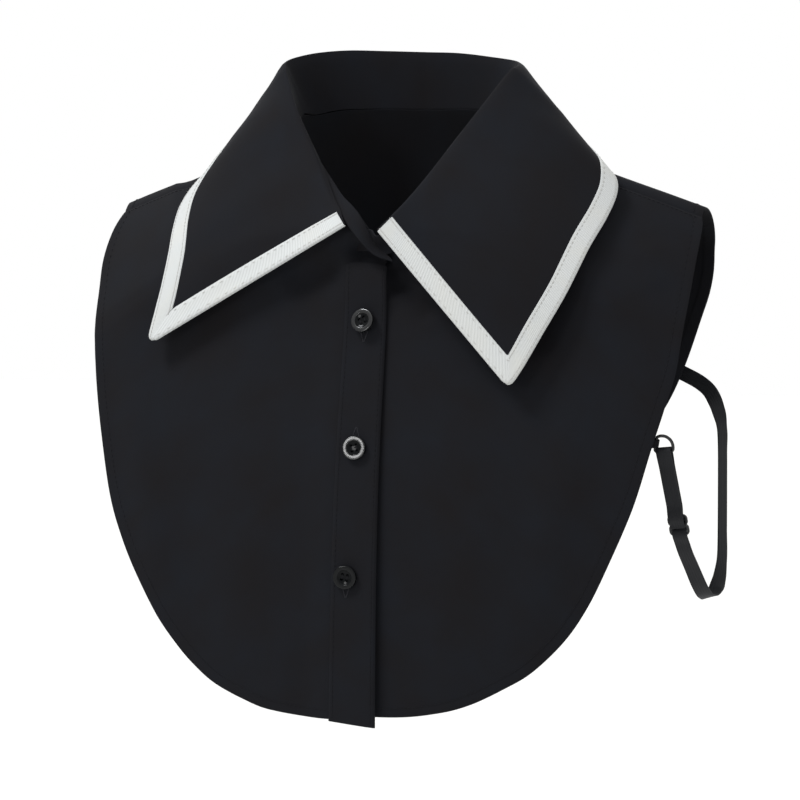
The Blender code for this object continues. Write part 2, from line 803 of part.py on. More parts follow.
def make_strap(side, material, collection):
    """Elastic from the back panel through the slider, round the ring and back to the slider's bar."""
    frame = strap_frame(side)
    turn_radius, weave, bar = strap_path()

    def spread(distance):
        near_ring = smooth_step((10 * MM - distance) / (9 * MM))
        return LAYER_SPREAD + (turn_radius - LAYER_SPREAD) * near_ring

    def main_offset(distance):
        from_slider = distance - SLIDER_STATION
        if abs(from_slider) <= bar:
            return weave * math.cos(math.pi * from_slider / bar)
        if from_slider > 0:
            return -weave * (1 - smooth_step((from_slider - bar) / (8 * MM)))
        rest = smooth_step((-from_slider - bar) / (7 * MM))
        return -weave + (spread(distance) + weave) * rest

    def end_offset(distance):
        from_slider = SLIDER_STATION - distance
        deep = -weave - ELASTIC_THICKNESS - SEAM_GAP
        if from_slider <= bar:
            return -weave + (deep + weave) * smooth_step(from_slider / bar)
        rest = smooth_step((from_slider - bar) / (8 * MM))
        return deep + (-spread(distance) - deep) * rest

    stations = []
    distance = frame.length
    while distance > SLIDER_STATION + 14 * MM:
        stations.append((distance, main_offset(distance)))
        distance -= 5 * MM
    distance = SLIDER_STATION + 14 * MM
    while distance > SLIDER_STATION - 15 * MM:
        stations.append((distance, main_offset(distance)))
        distance -= 1.25 * MM
    while distance > 1 * MM:
        stations.append((distance, main_offset(distance)))
        distance -= 3 * MM
    for step in range(9):
        angle = math.pi * step / 8
        stations.append((-turn_radius * math.sin(angle), turn_radius * math.cos(angle)))
    distance = 3 * MM
    while distance < SLIDER_STATION - 15 * MM:
        stations.append((distance, end_offset(distance)))
        distance += 3 * MM
    while distance < SLIDER_STATION + SLIDER_BAR:
        stations.append((distance, end_offset(distance)))
        distance += 1.25 * MM
    count = len(stations) - 1

    def surface(u, v):
        distance, offset = stations[round(u * count)]
        middle, _, width, face = frame(distance)
        return middle + face * (offset - ELASTIC_THICKNESS / 2) + width * STRAP_WIDTH * (v - 0.5)

    strap = shell("strap_" + side, count, 1, surface, ELASTIC_THICKNESS, material, collection)
    strap.modifiers["wall"].use_even_offset = True
    return strap


def wire_loop(name, points, radius, material, collection):
    """Closed wire through the points."""
    curve = bpy.data.curves.new(name, "CURVE")
    curve.dimensions = "3D"
    curve.bevel_depth = radius
    curve.bevel_resolution = 2
    spline = curve.splines.new("POLY")
    spline.points.add(len(points) - 1)
    for knot, point in zip(spline.points, points):
        knot.co = (*point, 1)
    spline.use_cyclic_u = True
    return link(name, curve, material, collection)


def make_ring(side, material, collection):
    """D ring: a straight bar that the strap goes round, and a straight side that the tab holds."""
    middle, tangent, width, _ = strap_frame(side)(0.0)
    facing = math.copysign(1.0, STRAP_SWING[side])
    points = [middle + width * across * facing * MM - tangent * rise * MM for across, rise in RING_SHAPE]
    return wire_loop("ring_" + side, points, RING_WIRE_RADIUS, material, collection)


def make_slider(side, material, collection):
    """Figure-8 adjuster: a flat frame with a middle bar."""
    middle, tangent, width, _ = strap_frame(side)(SLIDER_STATION)
    curve = bpy.data.curves.new("slider_" + side, "CURVE")
    curve.dimensions = "2D"
    curve.fill_mode = "BOTH"
    curve.extrude = SLIDER_THICKNESS / 2
    window_half_width = SLIDER_HALF_WIDTH - SLIDER_BAR * 0.8
    window_half_length = (SLIDER_HALF_LENGTH - SLIDER_BAR * 1.5) / 2
    window_middle = SLIDER_BAR / 2 + window_half_length
    outlines = (
        (SLIDER_HALF_WIDTH, SLIDER_HALF_LENGTH, 0, 1.6 * MM),
        (window_half_width, window_half_length, window_middle, 0.8 * MM),
        (window_half_width, window_half_length, -window_middle, 0.8 * MM),
    )
    for half_width, half_length, centre, corner in outlines:
        spline = curve.splines.new("POLY")
        points = []
        for quarter in range(4):
            for step in range(4):
                angle = math.pi / 2 * (quarter + step / 3)
                x_sign = 1 if quarter in (0, 3) else -1
                y_sign = 1 if quarter in (0, 1) else -1
                x = x_sign * (half_width - corner) + math.cos(angle) * corner
                y = centre + y_sign * (half_length - corner) + math.sin(angle) * corner
                points.append((x, y))
        spline.points.add(len(points) - 1)
        for knot, (x, y) in zip(spline.points, points):
            knot.co = (x, y, 0, 1)
        spline.use_cyclic_u = True
    slider = link("slider_" + side, curve, material, collection)
    turn = Matrix((width, -tangent, width.cross(-tangent))).transposed().to_4x4()
    slider.matrix_world = Matrix.Translation(middle) @ turn
    return slider


def make_tab(side, material, collection):
    """Short cloth tab, folded round the ring's bow and caught under the front's edge."""
    sign = SIDES[side]
    middle, tangent, across, _ = strap_frame(side)(0.0)
    facing = math.copysign(1.0, STRAP_SWING[side])
    ends = [middle + across * x * facing * MM - tangent * z * MM for x, z in RING_SIDE]
    bow = (ends[0] + ends[1]) / 2
    turn_radius = RING_WIRE_RADIUS + SEAM_GAP
    root_along = along_at_height(TAB_ROOT_ACROSS, TAB_ROOT_HEIGHT)
    root = on_body(sign * TAB_ROOT_ACROSS, root_along, -TAB_ROOT_DEPTH[side])
    width = (ends[0] - ends[1]).normalized()
    toward = (root - bow) - width * width.dot(root - bow)
    length = toward.length
    toward.normalize()
    face = toward.cross(width) * -sign
    stations = []
    for step in range(6):
        distance = length * (1 - step / 5)
        flat = smooth_step(distance / TAB_TAPER)
        stations.append((distance, turn_radius + (TAB_FLAT - turn_radius) * flat))
    for step in range(1, 8):
        angle = math.pi * step / 8
        stations.append((-turn_radius * math.sin(angle), turn_radius * math.cos(angle)))
    for step in range(6):
        distance = length * step / 5
        flat = smooth_step(distance / TAB_TAPER)
        stations.append((distance, (turn_radius - TAB_FLAT) * flat - turn_radius))
    count = len(stations) - 1

    def surface(u, v):
        distance, offset = stations[round(u * count)]
        spread = TAB_WIDTH + (TAB_ROOT_WIDTH - TAB_WIDTH) * smooth_step(distance / TAB_TAPER)
        return bow + toward * distance + face * offset + width * spread * (v - 0.5)

    turned = side == "right"
    return shell("tab_" + side, count, 1, surface, ELASTIC_THICKNESS, material, collection, turned=turned)


def make_collection(name):
    """New collection under the scene."""
    collection = bpy.data.collections.new(name)
    bpy.context.scene.collection.children.link(collection)
    return collection


def main():
    for thing in list(bpy.data.objects):
        bpy.data.objects.remove(thing)
    collection = make_collection(COLLECTION_NAME)
    cutters = make_collection(CUTTER_COLLECTION_NAME)

    shirting = {}
    for name in ("front_left", "front_right", "back", "placket", "neck_band", "collar_leaf"):
        shirting[name] = new_material(name + "_shirting", (0.012, 0.013, 0.014), 0.85)
    trim_material = new_material("collar_trim_ribbon", (0.72, 0.71, 0.69), 0.8)
    button_material = new_material("button_plastic", (0.01, 0.01, 0.011), 0.25)

    for side in SIDES:
        make_front(side, shirting["front_" + side], collection)
    make_back(shirting["back"], collection)
    make_placket(shirting["placket"], collection)
    make_band(shirting["neck_band"], collection)
    leaf = leaf_surface()
    make_leaf(leaf, shirting["collar_leaf"], collection)
    make_trim(leaf, trim_material, collection)
    make_buttons(button_material, collection, cutters)
    for side in SIDES:
        elastic = new_material("elastic_" + side, (0.014, 0.015, 0.016), 0.7)
        tab_cloth = new_material("tab_cloth_" + side, (0.012, 0.013, 0.014), 0.85)
        wire = new_material("ring_wire_" + side, (0.02, 0.02, 0.022), 0.3, 0.6)
        slider_plastic = new_material("slider_plastic_" + side, (0.02, 0.021, 0.023), 0.35)
        make_strap(side, elastic, collection)
        make_ring(side, wire, collection)
        make_slider(side, slider_plastic, collection)
        make_tab(side, tab_cloth, collection)


main()
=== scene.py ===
"""Finish of a detachable shirt collar: shirting, ribbed ribbon, buttons, stitching and elastic loops.

Laid out as a Blender add-on.
Frame: metres, +Z up, the wearer's left is +X and the front faces -Y.
"""

import math

import bmesh
import bpy
from mathutils import Matrix, Vector


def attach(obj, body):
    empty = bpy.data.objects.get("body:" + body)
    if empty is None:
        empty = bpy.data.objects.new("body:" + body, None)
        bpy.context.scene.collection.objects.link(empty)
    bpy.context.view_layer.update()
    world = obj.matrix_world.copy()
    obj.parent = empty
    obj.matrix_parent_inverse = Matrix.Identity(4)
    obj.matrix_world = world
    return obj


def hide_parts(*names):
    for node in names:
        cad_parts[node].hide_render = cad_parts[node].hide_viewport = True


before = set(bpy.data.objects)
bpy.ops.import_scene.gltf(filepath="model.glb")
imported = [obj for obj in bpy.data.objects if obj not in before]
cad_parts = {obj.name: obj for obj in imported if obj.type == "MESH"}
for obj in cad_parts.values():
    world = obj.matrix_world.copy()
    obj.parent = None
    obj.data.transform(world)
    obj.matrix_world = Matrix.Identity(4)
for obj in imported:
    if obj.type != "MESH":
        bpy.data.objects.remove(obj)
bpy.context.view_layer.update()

bl_info = {
    "name": "Detachable Shirt Collar",
    "version": (1, 0, 0),
    "blender": (4, 5, 0),
    "location": "3D View > Sidebar > Collar",
    "description": "Dresses a detachable shirt collar in shirting, ribbon, buttons, stitching and elastic",
    "category": "Object",
}

MM = 0.001
BODY = "root"
SIDES = {"left": 1, "right": -1}

# ------------------------------ the general figure; tables are in millimetres

NECK_HALF_WIDTH = 64 * MM
SHOULDER_HALF_WIDTH = 174 * MM
SHOULDER_SET_BACK = 25 * MM
SHOULDER_SWEEP = 1.3
CHEST_DEPTH = 53.5 * MM
CHEST_WRAP = 27 * MM
BACK_DEPTH = 76 * MM
BACK_WRAP = 19 * MM
FRONT_WALL_TOP = -45 * MM
FRONT_WALL_DROP = 66 * MM
BACK_WALL_TOP = -60 * MM
ROLL_LENGTH = 100 * MM
FRONT_BEND_NECK = 1.88
FRONT_BEND_TIP = 1.6
BACK_BEND = 1.0
LEAN = 27 * MM
LEAN_TOP = -85 * MM
LEAN_LENGTH = 65 * MM
# shoulder line: (distance from the middle, height)
FRONT_RIDGE = (
    (0, 17), (30, 16.5), (50, 15.5), (64, 12), (76, 4), (95, -6), (120, -16), (150, -27), (174, -36),
)
BACK_RIDGE = ((0, 46), (25, 42), (46, 31), (64, 12), (76, 4), (95, -6), (120, -16), (150, -27), (174, -36))

# ------------------------------ outlines of the cut pieces; tables are in millimetres

SHOULDER_SEAM = 19 * MM
SHOULDER_LAP = 1.6 * MM
SHOULDER_LAP_DROP = 0.75 * MM
SHOULDER_LAP_START = 4 * MM
SHOULDER_LAP_FADE = 3.5 * MM
SHOULDER_STITCH_DOWN = 1.6 * MM
NECK_SIDE = 59 * MM
LAP_LIFT = 1.6 * MM
LAP_START = 15 * MM
LAP_END = 34 * MM
# share of an outline that is armhole and side, and share of a top edge that is neckline
SIDE_SHARE = 0.56
NECK_SHARE = 0.45
BACK_SIDE_SHARE = 0.5
BACK_NECK_SHARE = 7 / 15
# armhole, side and hem of each front: (distance from the middle, height)
FRONT_OUTLINE = {
    "right": (
        (178, -52), (179.5, -68), (177.5, -87), (174, -112), (170.5, -138), (164.5, -168),
        (156.5, -202), (147.5, -225), (137, -245), (122.5, -268), (108.5, -284.5), (96.5, -295.5),
        (84.5, -303.8), (68, -311), (50, -316.5), (22, -319.5), (-12.2, -320.5),
    ),
    "left": (
        (175.5, -47), (175.5, -68), (174.5, -95), (172.5, -123), (167.5, -144.5), (161.5, -167),
        (152.5, -200.5), (138.5, -236), (128.5, -257), (117, -274), (101, -290), (86, -299.5), (67, -309),
        (48, -314.5), (24, -317.5), (-12, -319),
    ),
}
# back: armhole, side and hem (distance from the middle, height)
BACK_OUTLINE = (
    (172.4, -48), (171.5, -59), (171, -72), (168.5, -85), (164, -98), (153, -128), (141, -152), (124, -174),
    (94, -192), (56, -204), (24, -208.5), (0, -209),
)
# neck band, front: (neck across, neck height, lift, rise, top across, top depth, top height)
BAND_ENDS = {
    "right": (
        (-13.5, -61.5, 2.7, 0, -18.3, -63.5, -64.5), (-10, -58.4, 2.7, 0, -9.6, -65.5, -62.3),
        (-5.5, -53.6, 2.7, 0, -3.7, -66, -58.7), (2.3, -43.6, 2.7, 0, 1.7, -66, -53.3),
        (9, -38.5, 2.7, 0, 10.6, -62.5, -44.5),
    ),
    "left": (
        (-13, -63, -6, 2, -13.5, -46, -50), (-8, -60.5, -5, 1, -8.5, -47, -47),
        (-3, -58, -2.5, -1, -3, -52, -45), (3, -54, -0.2, -5, 3, -56, -44.6),
        (9, -43.5, 1, -17, 8.2, -59.9, -47.6),
    ),
}
BAND_FRONT = {
    "right": (
        (18, -31, 2.7, 0, 20.5, -52.5, -34), (27, -21, 2.7, 0, 30.3, -42.5, -20),
        (41, -7, 2.4, 0, 42.7, -29.5, 0), (52, 2, 2, 0, 55.7, -18, 20), (58.5, 8, 2, 0, 66.6, -2, 38),
    ),
    "left": (
        (18, -38, 2, -18, 20.5, -52.5, -34), (27, -26, 2.4, -8, 30.3, -42.5, -20),
        (41, -9, 2.4, 0, 42.7, -29.5, 0), (52, 2, 2, 0, 55.9, -18, 20.5), (58.5, 8, 2, 0, 66.9, -2, 39.8),
    ),
}
# neck band, back: (neck across, neck depth, top across, top depth, top height)
BAND_BACK = {
    "right": (
        (59.3, 0, 69, 3, 42.4), (59.2, 10, 70.5, 9.5, 45.8), (56.5, 24, 67.5, 20, 48.7),
        (47.5, 36.5, 59, 33, 51.3), (33.5, 45, 43.5, 43.5, 52.7), (17, 49, 22, 49, 52.3),
        (0, 50.5, 0, 50.5, 51.7),
    ),
    "left": (
        (59.3, 0, 68.9, 3, 42.4), (59.2, 10, 68.9, 9.5, 43.8), (56.5, 24, 65.6, 20, 45.3),
        (47.5, 36.5, 57.8, 32.7, 46.8), (33.5, 45, 43.5, 43.5, 48.6), (17, 49, 22, 49, 51),
        (0, 50.5, 0, 50.5, 51.7),
    ),
}
# rows at each front end that the neck band has and the leaf hasn't
END_ROWS = 4
# outer edge of the collar, point to shoulder: (across, depth, height)
EDGE_LEFT = (
    (85.8, -65.7, -132.8), (92.6, -62.1, -121.6), (101.6, -56.5, -104), (113.4, -48.5, -81),
    (122.6, -36, -56.5),
    (127.8, -20.5, -41), (130.2, -9, -29), (128.4, -2, -20.8), (120.5, 6, -15.5), (106.5, 12.5, -9),
)
EDGE_RIGHT = (
    (131.8, -53.4, -113.4), (130, -50.4, -103), (127.9, -47.5, -92.3), (125.6, -42.5, -78),
    (124.4, -36, -62.5),
    (125.3, -27, -50), (125.2, -18, -39), (122.3, -11, -30), (117.7, -6.5, -23.2), (112.6, -2.4, -17.2),
    (108.2, 4.5, -11.3),
)
# outer edge of the collar behind the shoulder: (across, depth)
EDGE_BACK = ((94, 21.5), (87, 32), (67, 42.5), (38, 58), (0, 61.5))
EDGE_BACK_LIFT = 5.2 * MM
LEAF_CLEARANCE = 2.7 * MM
LEAF_SOFTNESS = 1.5 * MM
LEAF_BULGE = 4.5 * MM
LEAF_BULGE_SKEW = 1.25
LEAF_BULGE_START = 0.12
# behind the shoulder the leaf bulges less: where that starts, how softly, and by what share
LEAF_BACK_START = 0.54
LEAF_BACK_FADE = 0.12
LEAF_BACK_FLATTER = 0.7
# size of the leaf in its UV map, in metres
LEAF_UV = (0.5, 0.11)
FOLD_ROLL = 1.4 * MM
FOLD_ROLL_SHARE = 0.035
FOLD_ROLL_START = 0.22
FOLD_ROLL_FADE = 0.7
CORNER_REACH = 0.12

# ------------------------------ elastic loops, rings, sliders and tabs; tables are in millimetres

SLIDER_HALF_WIDTH = 5.7 * MM
SLIDER_HALF_LENGTH = 6.3 * MM
SLIDER_LOBE = 3.4 * MM
SLIDER_BAR = 1.8 * MM
SLIDER_THICKNESS = 1.3 * MM
SLIDER_STATION = 45 * MM
STRAP_WIDTH = 8.5 * MM
RING_WIRE_RADIUS = 0.88 * MM
SEAM_GAP = 0.3 * MM
WEAVE_SLACK = 0.3 * MM
LAYER_SPREAD = 0.8 * MM
TAB_WIDTH = 4.2 * MM
TAB_ROOT_WIDTH = 7.6 * MM
TAB_ROOT_ACROSS = 156 * MM
TAB_ROOT_HEIGHT = -161 * MM
TAB_ROOT_DEPTH = {"left": 2.2 * MM, "right": 0.8 * MM}
TAB_FLAT = 0.2 * MM
TAB_TAPER = 5 * MM
TURN_STEPS = 12
# where the elastic's two layers part for the ring, and close again past the slider
RING_NEAR = 10 * MM
RING_FADE = 9 * MM
SLIDER_FADE = 8 * MM
SLIDER_BACK_FADE = 7 * MM
# ring: (across the strap, up from the strap), and the straight side that the tab holds
RING_SHAPE = (
    (-4.6, 0), (-3, 0), (0, 0), (3, 0), (4.6, 0), (5.3, 1.2), (5.4, 4), (4.4, 6.6), (2.3, 8.5), (-0.4, 9.1),
    (-2.3, 8.7), (-3, 7.8), (-3.7, 5.6), (-4.5, 3.4), (-5.2, 1.2),
)
RING_SIDE = ((-2.95, 7.8), (-4.85, 2.4))
# strap from the ring to the back panel: (outward, depth, height) and its width direction
STRAP_BASE = 158 * MM
STRAP_ROUTE = (
    (8.8, -36, -168.5, 1, 0, 0), (10.6, -31, -184.5, 1, 0, 0), (12.7, -23.5, -205, 1, 0, 0),
    (14.1, -18.3, -218.5, 1, 0.05, 0), (15.1, -14, -226, 1, 0.1, 0), (16.8, -5, -236, 1, 0.2, 0),
    (18.7, 5, -247, 0.9, 0.4, 0), (19.8, 14, -253.5, 0.8, 0.5, 0), (20.6, 23, -255.5, 0.7, 0.5, 0.2),
    (21.2, 32, -253, 0.6, 0.6, 0.3), (21.8, 40, -246.5, 0.5, 0.8, 0.2),
    (21.8, 46, -235, 0.4, 0.9, 0), (21, 49.5, -219, 0.35, 0.93, 0),
    (20.4, 52, -203, 0.35, 0.93, 0), (19.8, 54, -176, 0.35, 0.93, 0), (19, 56, -163, 0.4, 0.85, 0),
)
# the elastic's last stretch, which turns in to its sewn end on the back panel
STRAP_END = {
    "left": (
        (16.2, 58, -152, 0.5, 0.6, 0.4), (11.2, 60.5, -142.5, 0.5, 0.3, 0.75),
        (4.7, 62.5, -137, 0.4, 0.1, 0.85),
        (-4.5, 64.3, -132.5, 0.35, 0, 0.93), (-14, 65.4, -128.5, 0.35, 0, 0.93),
    ),
    "right": (
        (-12, 58, -153, 0.6, 0.75, -0.2), (-8, 60.3, -144.5, 0.8, 0.3, -0.45),
        (-3.4, 62.4, -137.5, 0.95, 0.1, 0.1),
        (-6, 64.2, -131.8, 0.65, 0, 0.76), (-15, 65.4, -128.3, 0.35, 0, 0.93),
    ),
}
STRAP_SWING = {"left": 1.0, "right": -0.75}

# ------------------------------ cloth lifts and soft folds

BLEND = 16 * MM
BLEND_REACH = 50 * MM
BLEND_FADE = 0.4
CLOTH_OFF_BODY = 0.3 * MM
LAP_OPENING = 2.5 * MM
LAP_OPENING_INSIDE = 30 * MM
LAP_OPENING_WIDTH = 42 * MM
# the opening starts this far down and grows over this length, in millimetres
LAP_OPENING_TOP = 100
LAP_OPENING_LENGTH = 220
CREASE_FADE = 3.5
CREASE_END = 0.25
# turned hem: (share of its width in from the edge, lift in millimetres)
HEM_SECTION = ((0.0, 0.1), (0.0, -0.35), (0.25, -0.62), (0.6, -0.7), (1.0, -0.68))
HEM_INSIDE = 0.15 * MM
HEM_THICKNESS = 0.3 * MM
HEM_UV_LENGTH = 0.7
# stitches: how far in from the hem's inner edge, and their lift as a share of the thread's radius
STITCH_INSET = 1 * MM
THREAD_LIFT = 0.4
BAND_BACK_LIFT = 2.3 * MM
BAND_BELOW_FOLD = 2.4 * MM
BAND_ABOVE_SEAM = 0.4 * MM
BAND_UV = (0.42, 0.035)
LEAF_ROW_POWER = 1.8
FOLD_LIP = 3 * MM
# the inner layer's share of the leaf's rows, and where it grows to cover the neck band
LIP_SHARE = 0.2
LIP_START = 0.05
LIP_COVER = 0.6 * MM
LIP_BACK_START = 0.3
LIP_BACK_FADE = 0.2
# ribbon: share of its length on each front edge, its rows of stitches, and its length in its UV map
FRONT_STATION = 0.11
RIBBON_ROWS = (0.88, 0.1)
RIBBON_UV_LENGTH = 0.68
RIBBON_EDGE_STEP = 0.1
# steps that the ribbon's width is measured over: along the outer edge, down the leaf, and at the ends
TRIM_STEP_ALONG = 0.015
TRIM_STEP_DOWN = 0.3
TRIM_STEP_END = 0.002
# the ribbon is wider past the right point and narrower near the left one: change, place and softness
RIBBON_WIDER, RIBBON_WIDER_END, RIBBON_WIDER_FADE = 0.16, 0.24, 0.06
RIBBON_NARROWER, RIBBON_NARROWER_START, RIBBON_NARROWER_FADE = 0.05, 0.8, 0.1
PLACKET_HALF_WIDTH = 12 * MM
PLACKET_FLARE = 1 * MM
PLACKET_TOP = -66 * MM
PLACKET_TOP_SLOPE = 0.08
PLACKET_TOP_ROUND = 1.6 * MM
PLACKET_HEM_DROP = 1.2 * MM
PLACKET_HEM_BASE = 1.3
PLACKET_NARROW = 0.12
PLACKET_UV_LENGTH = 0.264
PLACKET_ROWS = (-10.6 * MM, 10.4 * MM)
# button band, from its sewn side over to its free edge and under: (across, lift)
PLACKET_SECTION = (
    (-12.5, 2.55), (-12.3, 2.85), (-11.6, 3.0), (-6, 3.0), (0, 3.03), (6, 3.0), (11.1, 2.97), (12.0, 2.75),
    (12.3, 2.35), (12.0, 1.97), (11.2, 1.8), (8.5, 1.78),
)
# soft folds: (across, height) of the start and the end, half width, lift
FRONT_CREASES = {
    "left": (
        (120, -150, 96, -286, 16, 1.6), (60, -180, 84, -300, 22, 1.2), (140, -100, 128, -200, 14, -0.6),
        (40, -250, 60, -312, 12, 0.9), (107, -58, 90, -118, 17, -7.5), (148, -52, 158, -84, 8, 1.2),
        (24, -66, 44, -96, 12, -4.5), (-18, -56, 18, -64, 7.5, -8),
        (14, -64, 20, -84, 8.5, -8),
    ),
    "right": (
        (150, -120, 118, -262, 12, 1.8), (112, -180, 92, -285, 14, -0.8), (70, -200, 62, -305, 24, 1.4),
        (36, -260, 44, -316, 12, 0.8), (114, -14, 140, -26, 24, -2.4),
        (-16, -63, 14, -57, 6.5, -7), (14, -62, 54, -80, 13, -5.5),
    ),
}
BACK_CREASES = (
    (70, -90, 84, -190, 18, 1.4), (-64, -96, -90, -188, 20, 1.2), (10, -120, 2, -205, 16, 0.9),
    (-114, -14, -140, -26, 24, -2.4),
)

# ------------------------------ buttons, buttonholes and the cut of the sheets

# each button: (across, height) in millimetres
BUTTONS = ((-0.7, -98.7), (-1.7, -169), (-4.3, -240))
BUTTON_LIFT = 3.85 * MM
BUTTON_THICKNESS = 2.6 * MM
# turned steps of a button's face and back: (width, height) in millimetres
BUTTON_FACE = ((0.35, 0.2), (1.9, 0.02), (0.45, -0.6), (2.4, -0.45))
BUTTON_BACK = ((1.3, 0.5),)
BUTTON_HOLE_RADIUS = 0.85 * MM
BUTTON_HOLE_SPACING = 2.9 * MM
BUTTON_DISH = 4.2 * MM
BUTTON_STITCH = (BUTTON_HOLE_SPACING * 1.25, 0.32 * MM)
BUTTONHOLE_HALF_WIDTH = 3 * MM
BUTTONHOLE_PITCH = 0.45 * MM
BUTTONHOLE_GAP = 0.2 * MM
# a buttonhole starts this far from its button's middle and is this long, in millimetres
BUTTONHOLE_START = 2
BUTTONHOLE_LENGTH = 9.5
# length and radius of a stitch of a buttonhole and of a button's thread
BUTTONHOLE_STITCH = (0.8 * MM, 0.19 * MM)
# each buttonhole shows below (-1) or above (1) its button
BUTTONHOLE_WAY = (-1, 1, -1)
# each button: its turn and tilt in degrees, the direction of its tilt axis, and how satin its rim is
BUTTON_TURN = ((30, 13, -2.5, 0.7), (14, 1.5, 0.2, 1.0), (-12, 6, 0.4, 0.15))

# ------------------------------ stage

FLOOR_HEIGHT = -1.2
CAMERA_AZIMUTH = 18.0
CAMERA_ELEVATION = 4.0
CAMERA_DISTANCE = 2.5
CAMERA_TARGET = (0.0013, 0.0, -0.1461)
CAMERA_LENS = 196.54
ROOM = (0.5, 0.5, 0.51)
# name, place, target, size, power, colour
LIGHTS = (
    ("key_left", (-1.25, -1.15, 2.2), (0, 0, -0.1), 0.8, 76, (0.95, 0.97, 1.0)),
    ("fill_right", (2.0, -1.9, 0.5), (0, 0, -0.15), 1.6, 10, (1.0, 1.0, 1.0)),
    ("front_box", (-0.72, -2.15, 0.34), (0, 0, -0.17), 0.4, 9, (1.0, 1.0, 1.0)),
)


# ------------------------------ shape of the figure and of the cut pieces


def read_table(rows, station):
    """Smooth reading, in metres, of a table in millimetres whose first column rises."""
    value = station / MM
    index = 0
    while index < len(rows) - 2 and value > rows[index + 1][0]:
        index += 1
    low, high = rows[index], rows[index + 1]
    span = high[0] - low[0]

    def slope(place):
        before = rows[max(place - 1, 0)]
        after = rows[min(place + 1, len(rows) - 1)]
        return (after[1] - before[1]) / (after[0] - before[0])

    share = min(max((value - low[0]) / span, 0.0), 1.0)
    square = share * share
    cube = square * share
    result = (
        (2 * cube - 3 * square + 1) * low[1]
        + (cube - 2 * square + share) * span * slope(index)
        + (3 * square - 2 * cube) * high[1]
        + (cube - square) * span * slope(index + 1)
    )
    return result * MM


def smooth_step(value):
    """0 below 0, 1 above 1 and a soft rise between."""
    share = min(max(value, 0.0), 1.0)
    return share * share * (3 - 2 * share)


def curve_between(points, index, share):
    """Point at a share of the way from one point to the next on a smooth curve through the points."""
    start, end = points[index], points[index + 1]
    before = points[index - 1] if index else start * 2 - end
    after = points[index + 2] if index + 2 < len(points) else end * 2 - start
    return 0.5 * (
        2 * start
        + (end - before) * share
        + (2 * before - 5 * start + 4 * end - after) * share * share
        + (3 * start - before - 3 * end + after) * share * share * share
    )


def route(points, fineness=24):
    """Function from a share of the length, 0 to 1, to a point on a smooth curve through the points."""
    samples = []
    for index in range(len(points) - 1):
        samples += [curve_between(points, index, step / fineness) for step in range(fineness)]
    samples.append(points[-1].copy())
    lengths = [0.0]
    for first, second in zip(samples, samples[1:]):
        lengths.append(lengths[-1] + (second - first).length)

    def at(share):
        target = min(max(share, 0.0), 1.0) * lengths[-1]
        low, high = 0, len(lengths) - 1
        while high - low > 1:
            middle = (low + high) // 2
            if lengths[middle] <= target:
                low = middle
            else:
                high = middle
        piece = lengths[high] - lengths[low]
        return samples[low].lerp(samples[high], (target - lengths[low]) / piece)

    at.length = lengths[-1]
    return at


def knots(points):
    """Function from a share of the rows, 0 to 1, to a point on a smooth curve through the points."""
    last = len(points) - 1

    def at(share):
        place = min(max(share, 0.0), 1.0) * last
        index = min(int(place), last - 1)
        return curve_between(points, index, place - index)

    return at


def between_rows(rows, share):
    """Both values of a table of pairs at a share of its rows, straight between two rows."""
    place = share * (len(rows) - 1)
    index = min(int(place), len(rows) - 2)
    part = place - index
    low, high = rows[index], rows[index + 1]
    return low[0] + (high[0] - low[0]) * part, low[1] + (high[1] - low[1]) * part


def half_of(u):
    """Side of the collar at a share of its way round, and the share of that side from its front end."""
    return "left" if u >= 0.5 else "right", 1 - abs(2 * u - 1)


def body_column(reach, behind):
    """Ridge depth and height, wall depth and height, and bend at a distance from the middle."""
    width = reach / SHOULDER_HALF_WIDTH
    past_neck = max(0.0, (reach - NECK_HALF_WIDTH) / (SHOULDER_HALF_WIDTH - NECK_HALF_WIDTH))
    ridge_depth = SHOULDER_SET_BACK * past_neck ** SHOULDER_SWEEP
    if behind:
        wall_depth = BACK_DEPTH - BACK_WRAP * width ** 2
        return ridge_depth, read_table(BACK_RIDGE, reach), wall_depth, BACK_WALL_TOP, BACK_BEND
    wall_depth = -CHEST_DEPTH + CHEST_WRAP * width ** 2
    wall_height = FRONT_WALL_TOP - FRONT_WALL_DROP * width ** 2
    bend = FRONT_BEND_NECK + (FRONT_BEND_TIP - FRONT_BEND_NECK) * width
    return ridge_depth, read_table(FRONT_RIDGE, reach), wall_depth, wall_height, bend


def chest_rise(height):
    """How far the chest stands forward of the wall under the shoulders."""
    fall = max(0.0, LEAN_TOP - height) / LEAN_LENGTH
    return LEAN * (1 - math.exp(-fall * fall / (1 + fall)))


def figure_point(across, along):
    """Raw point of the figure: across from the middle, along down the front (or, below zero, the back)."""
    behind = along < 0
    ridge_depth, ridge_height, wall_depth, wall_height, bend = body_column(abs(across), behind)
    turn = min(abs(along) / ROLL_LENGTH, 1.0) * math.pi / 2
    depth = ridge_depth + (wall_depth - ridge_depth) * math.sin(turn) ** bend
    height = wall_height + (ridge_height - wall_height) * max(math.cos(turn), 0.0) ** bend
    height -= max(0.0, abs(along) - ROLL_LENGTH)
    if not behind:
        depth -= chest_rise(height)
    return Vector((across, depth, height))


def body_point(across, along):
    """Point of the figure with the turn from the shoulder to the chest softened."""
    point = figure_point(across, along)
    near = smooth_step((BLEND_REACH - abs(along - ROLL_LENGTH)) / (BLEND_REACH * BLEND_FADE))
    if near:
        soft = figure_point(across, along - BLEND) + figure_point(across, along + BLEND)
        point = point.lerp((soft + point * 2) / 4, near)
    return point


def body_normal(across, along):
    """Outward direction of the figure."""
    step = 0.5 * MM
    sideways = body_point(across + step, along) - body_point(across - step, along)
    downward = body_point(across, along + step) - body_point(across, along - step)
    return downward.cross(sideways).normalized()


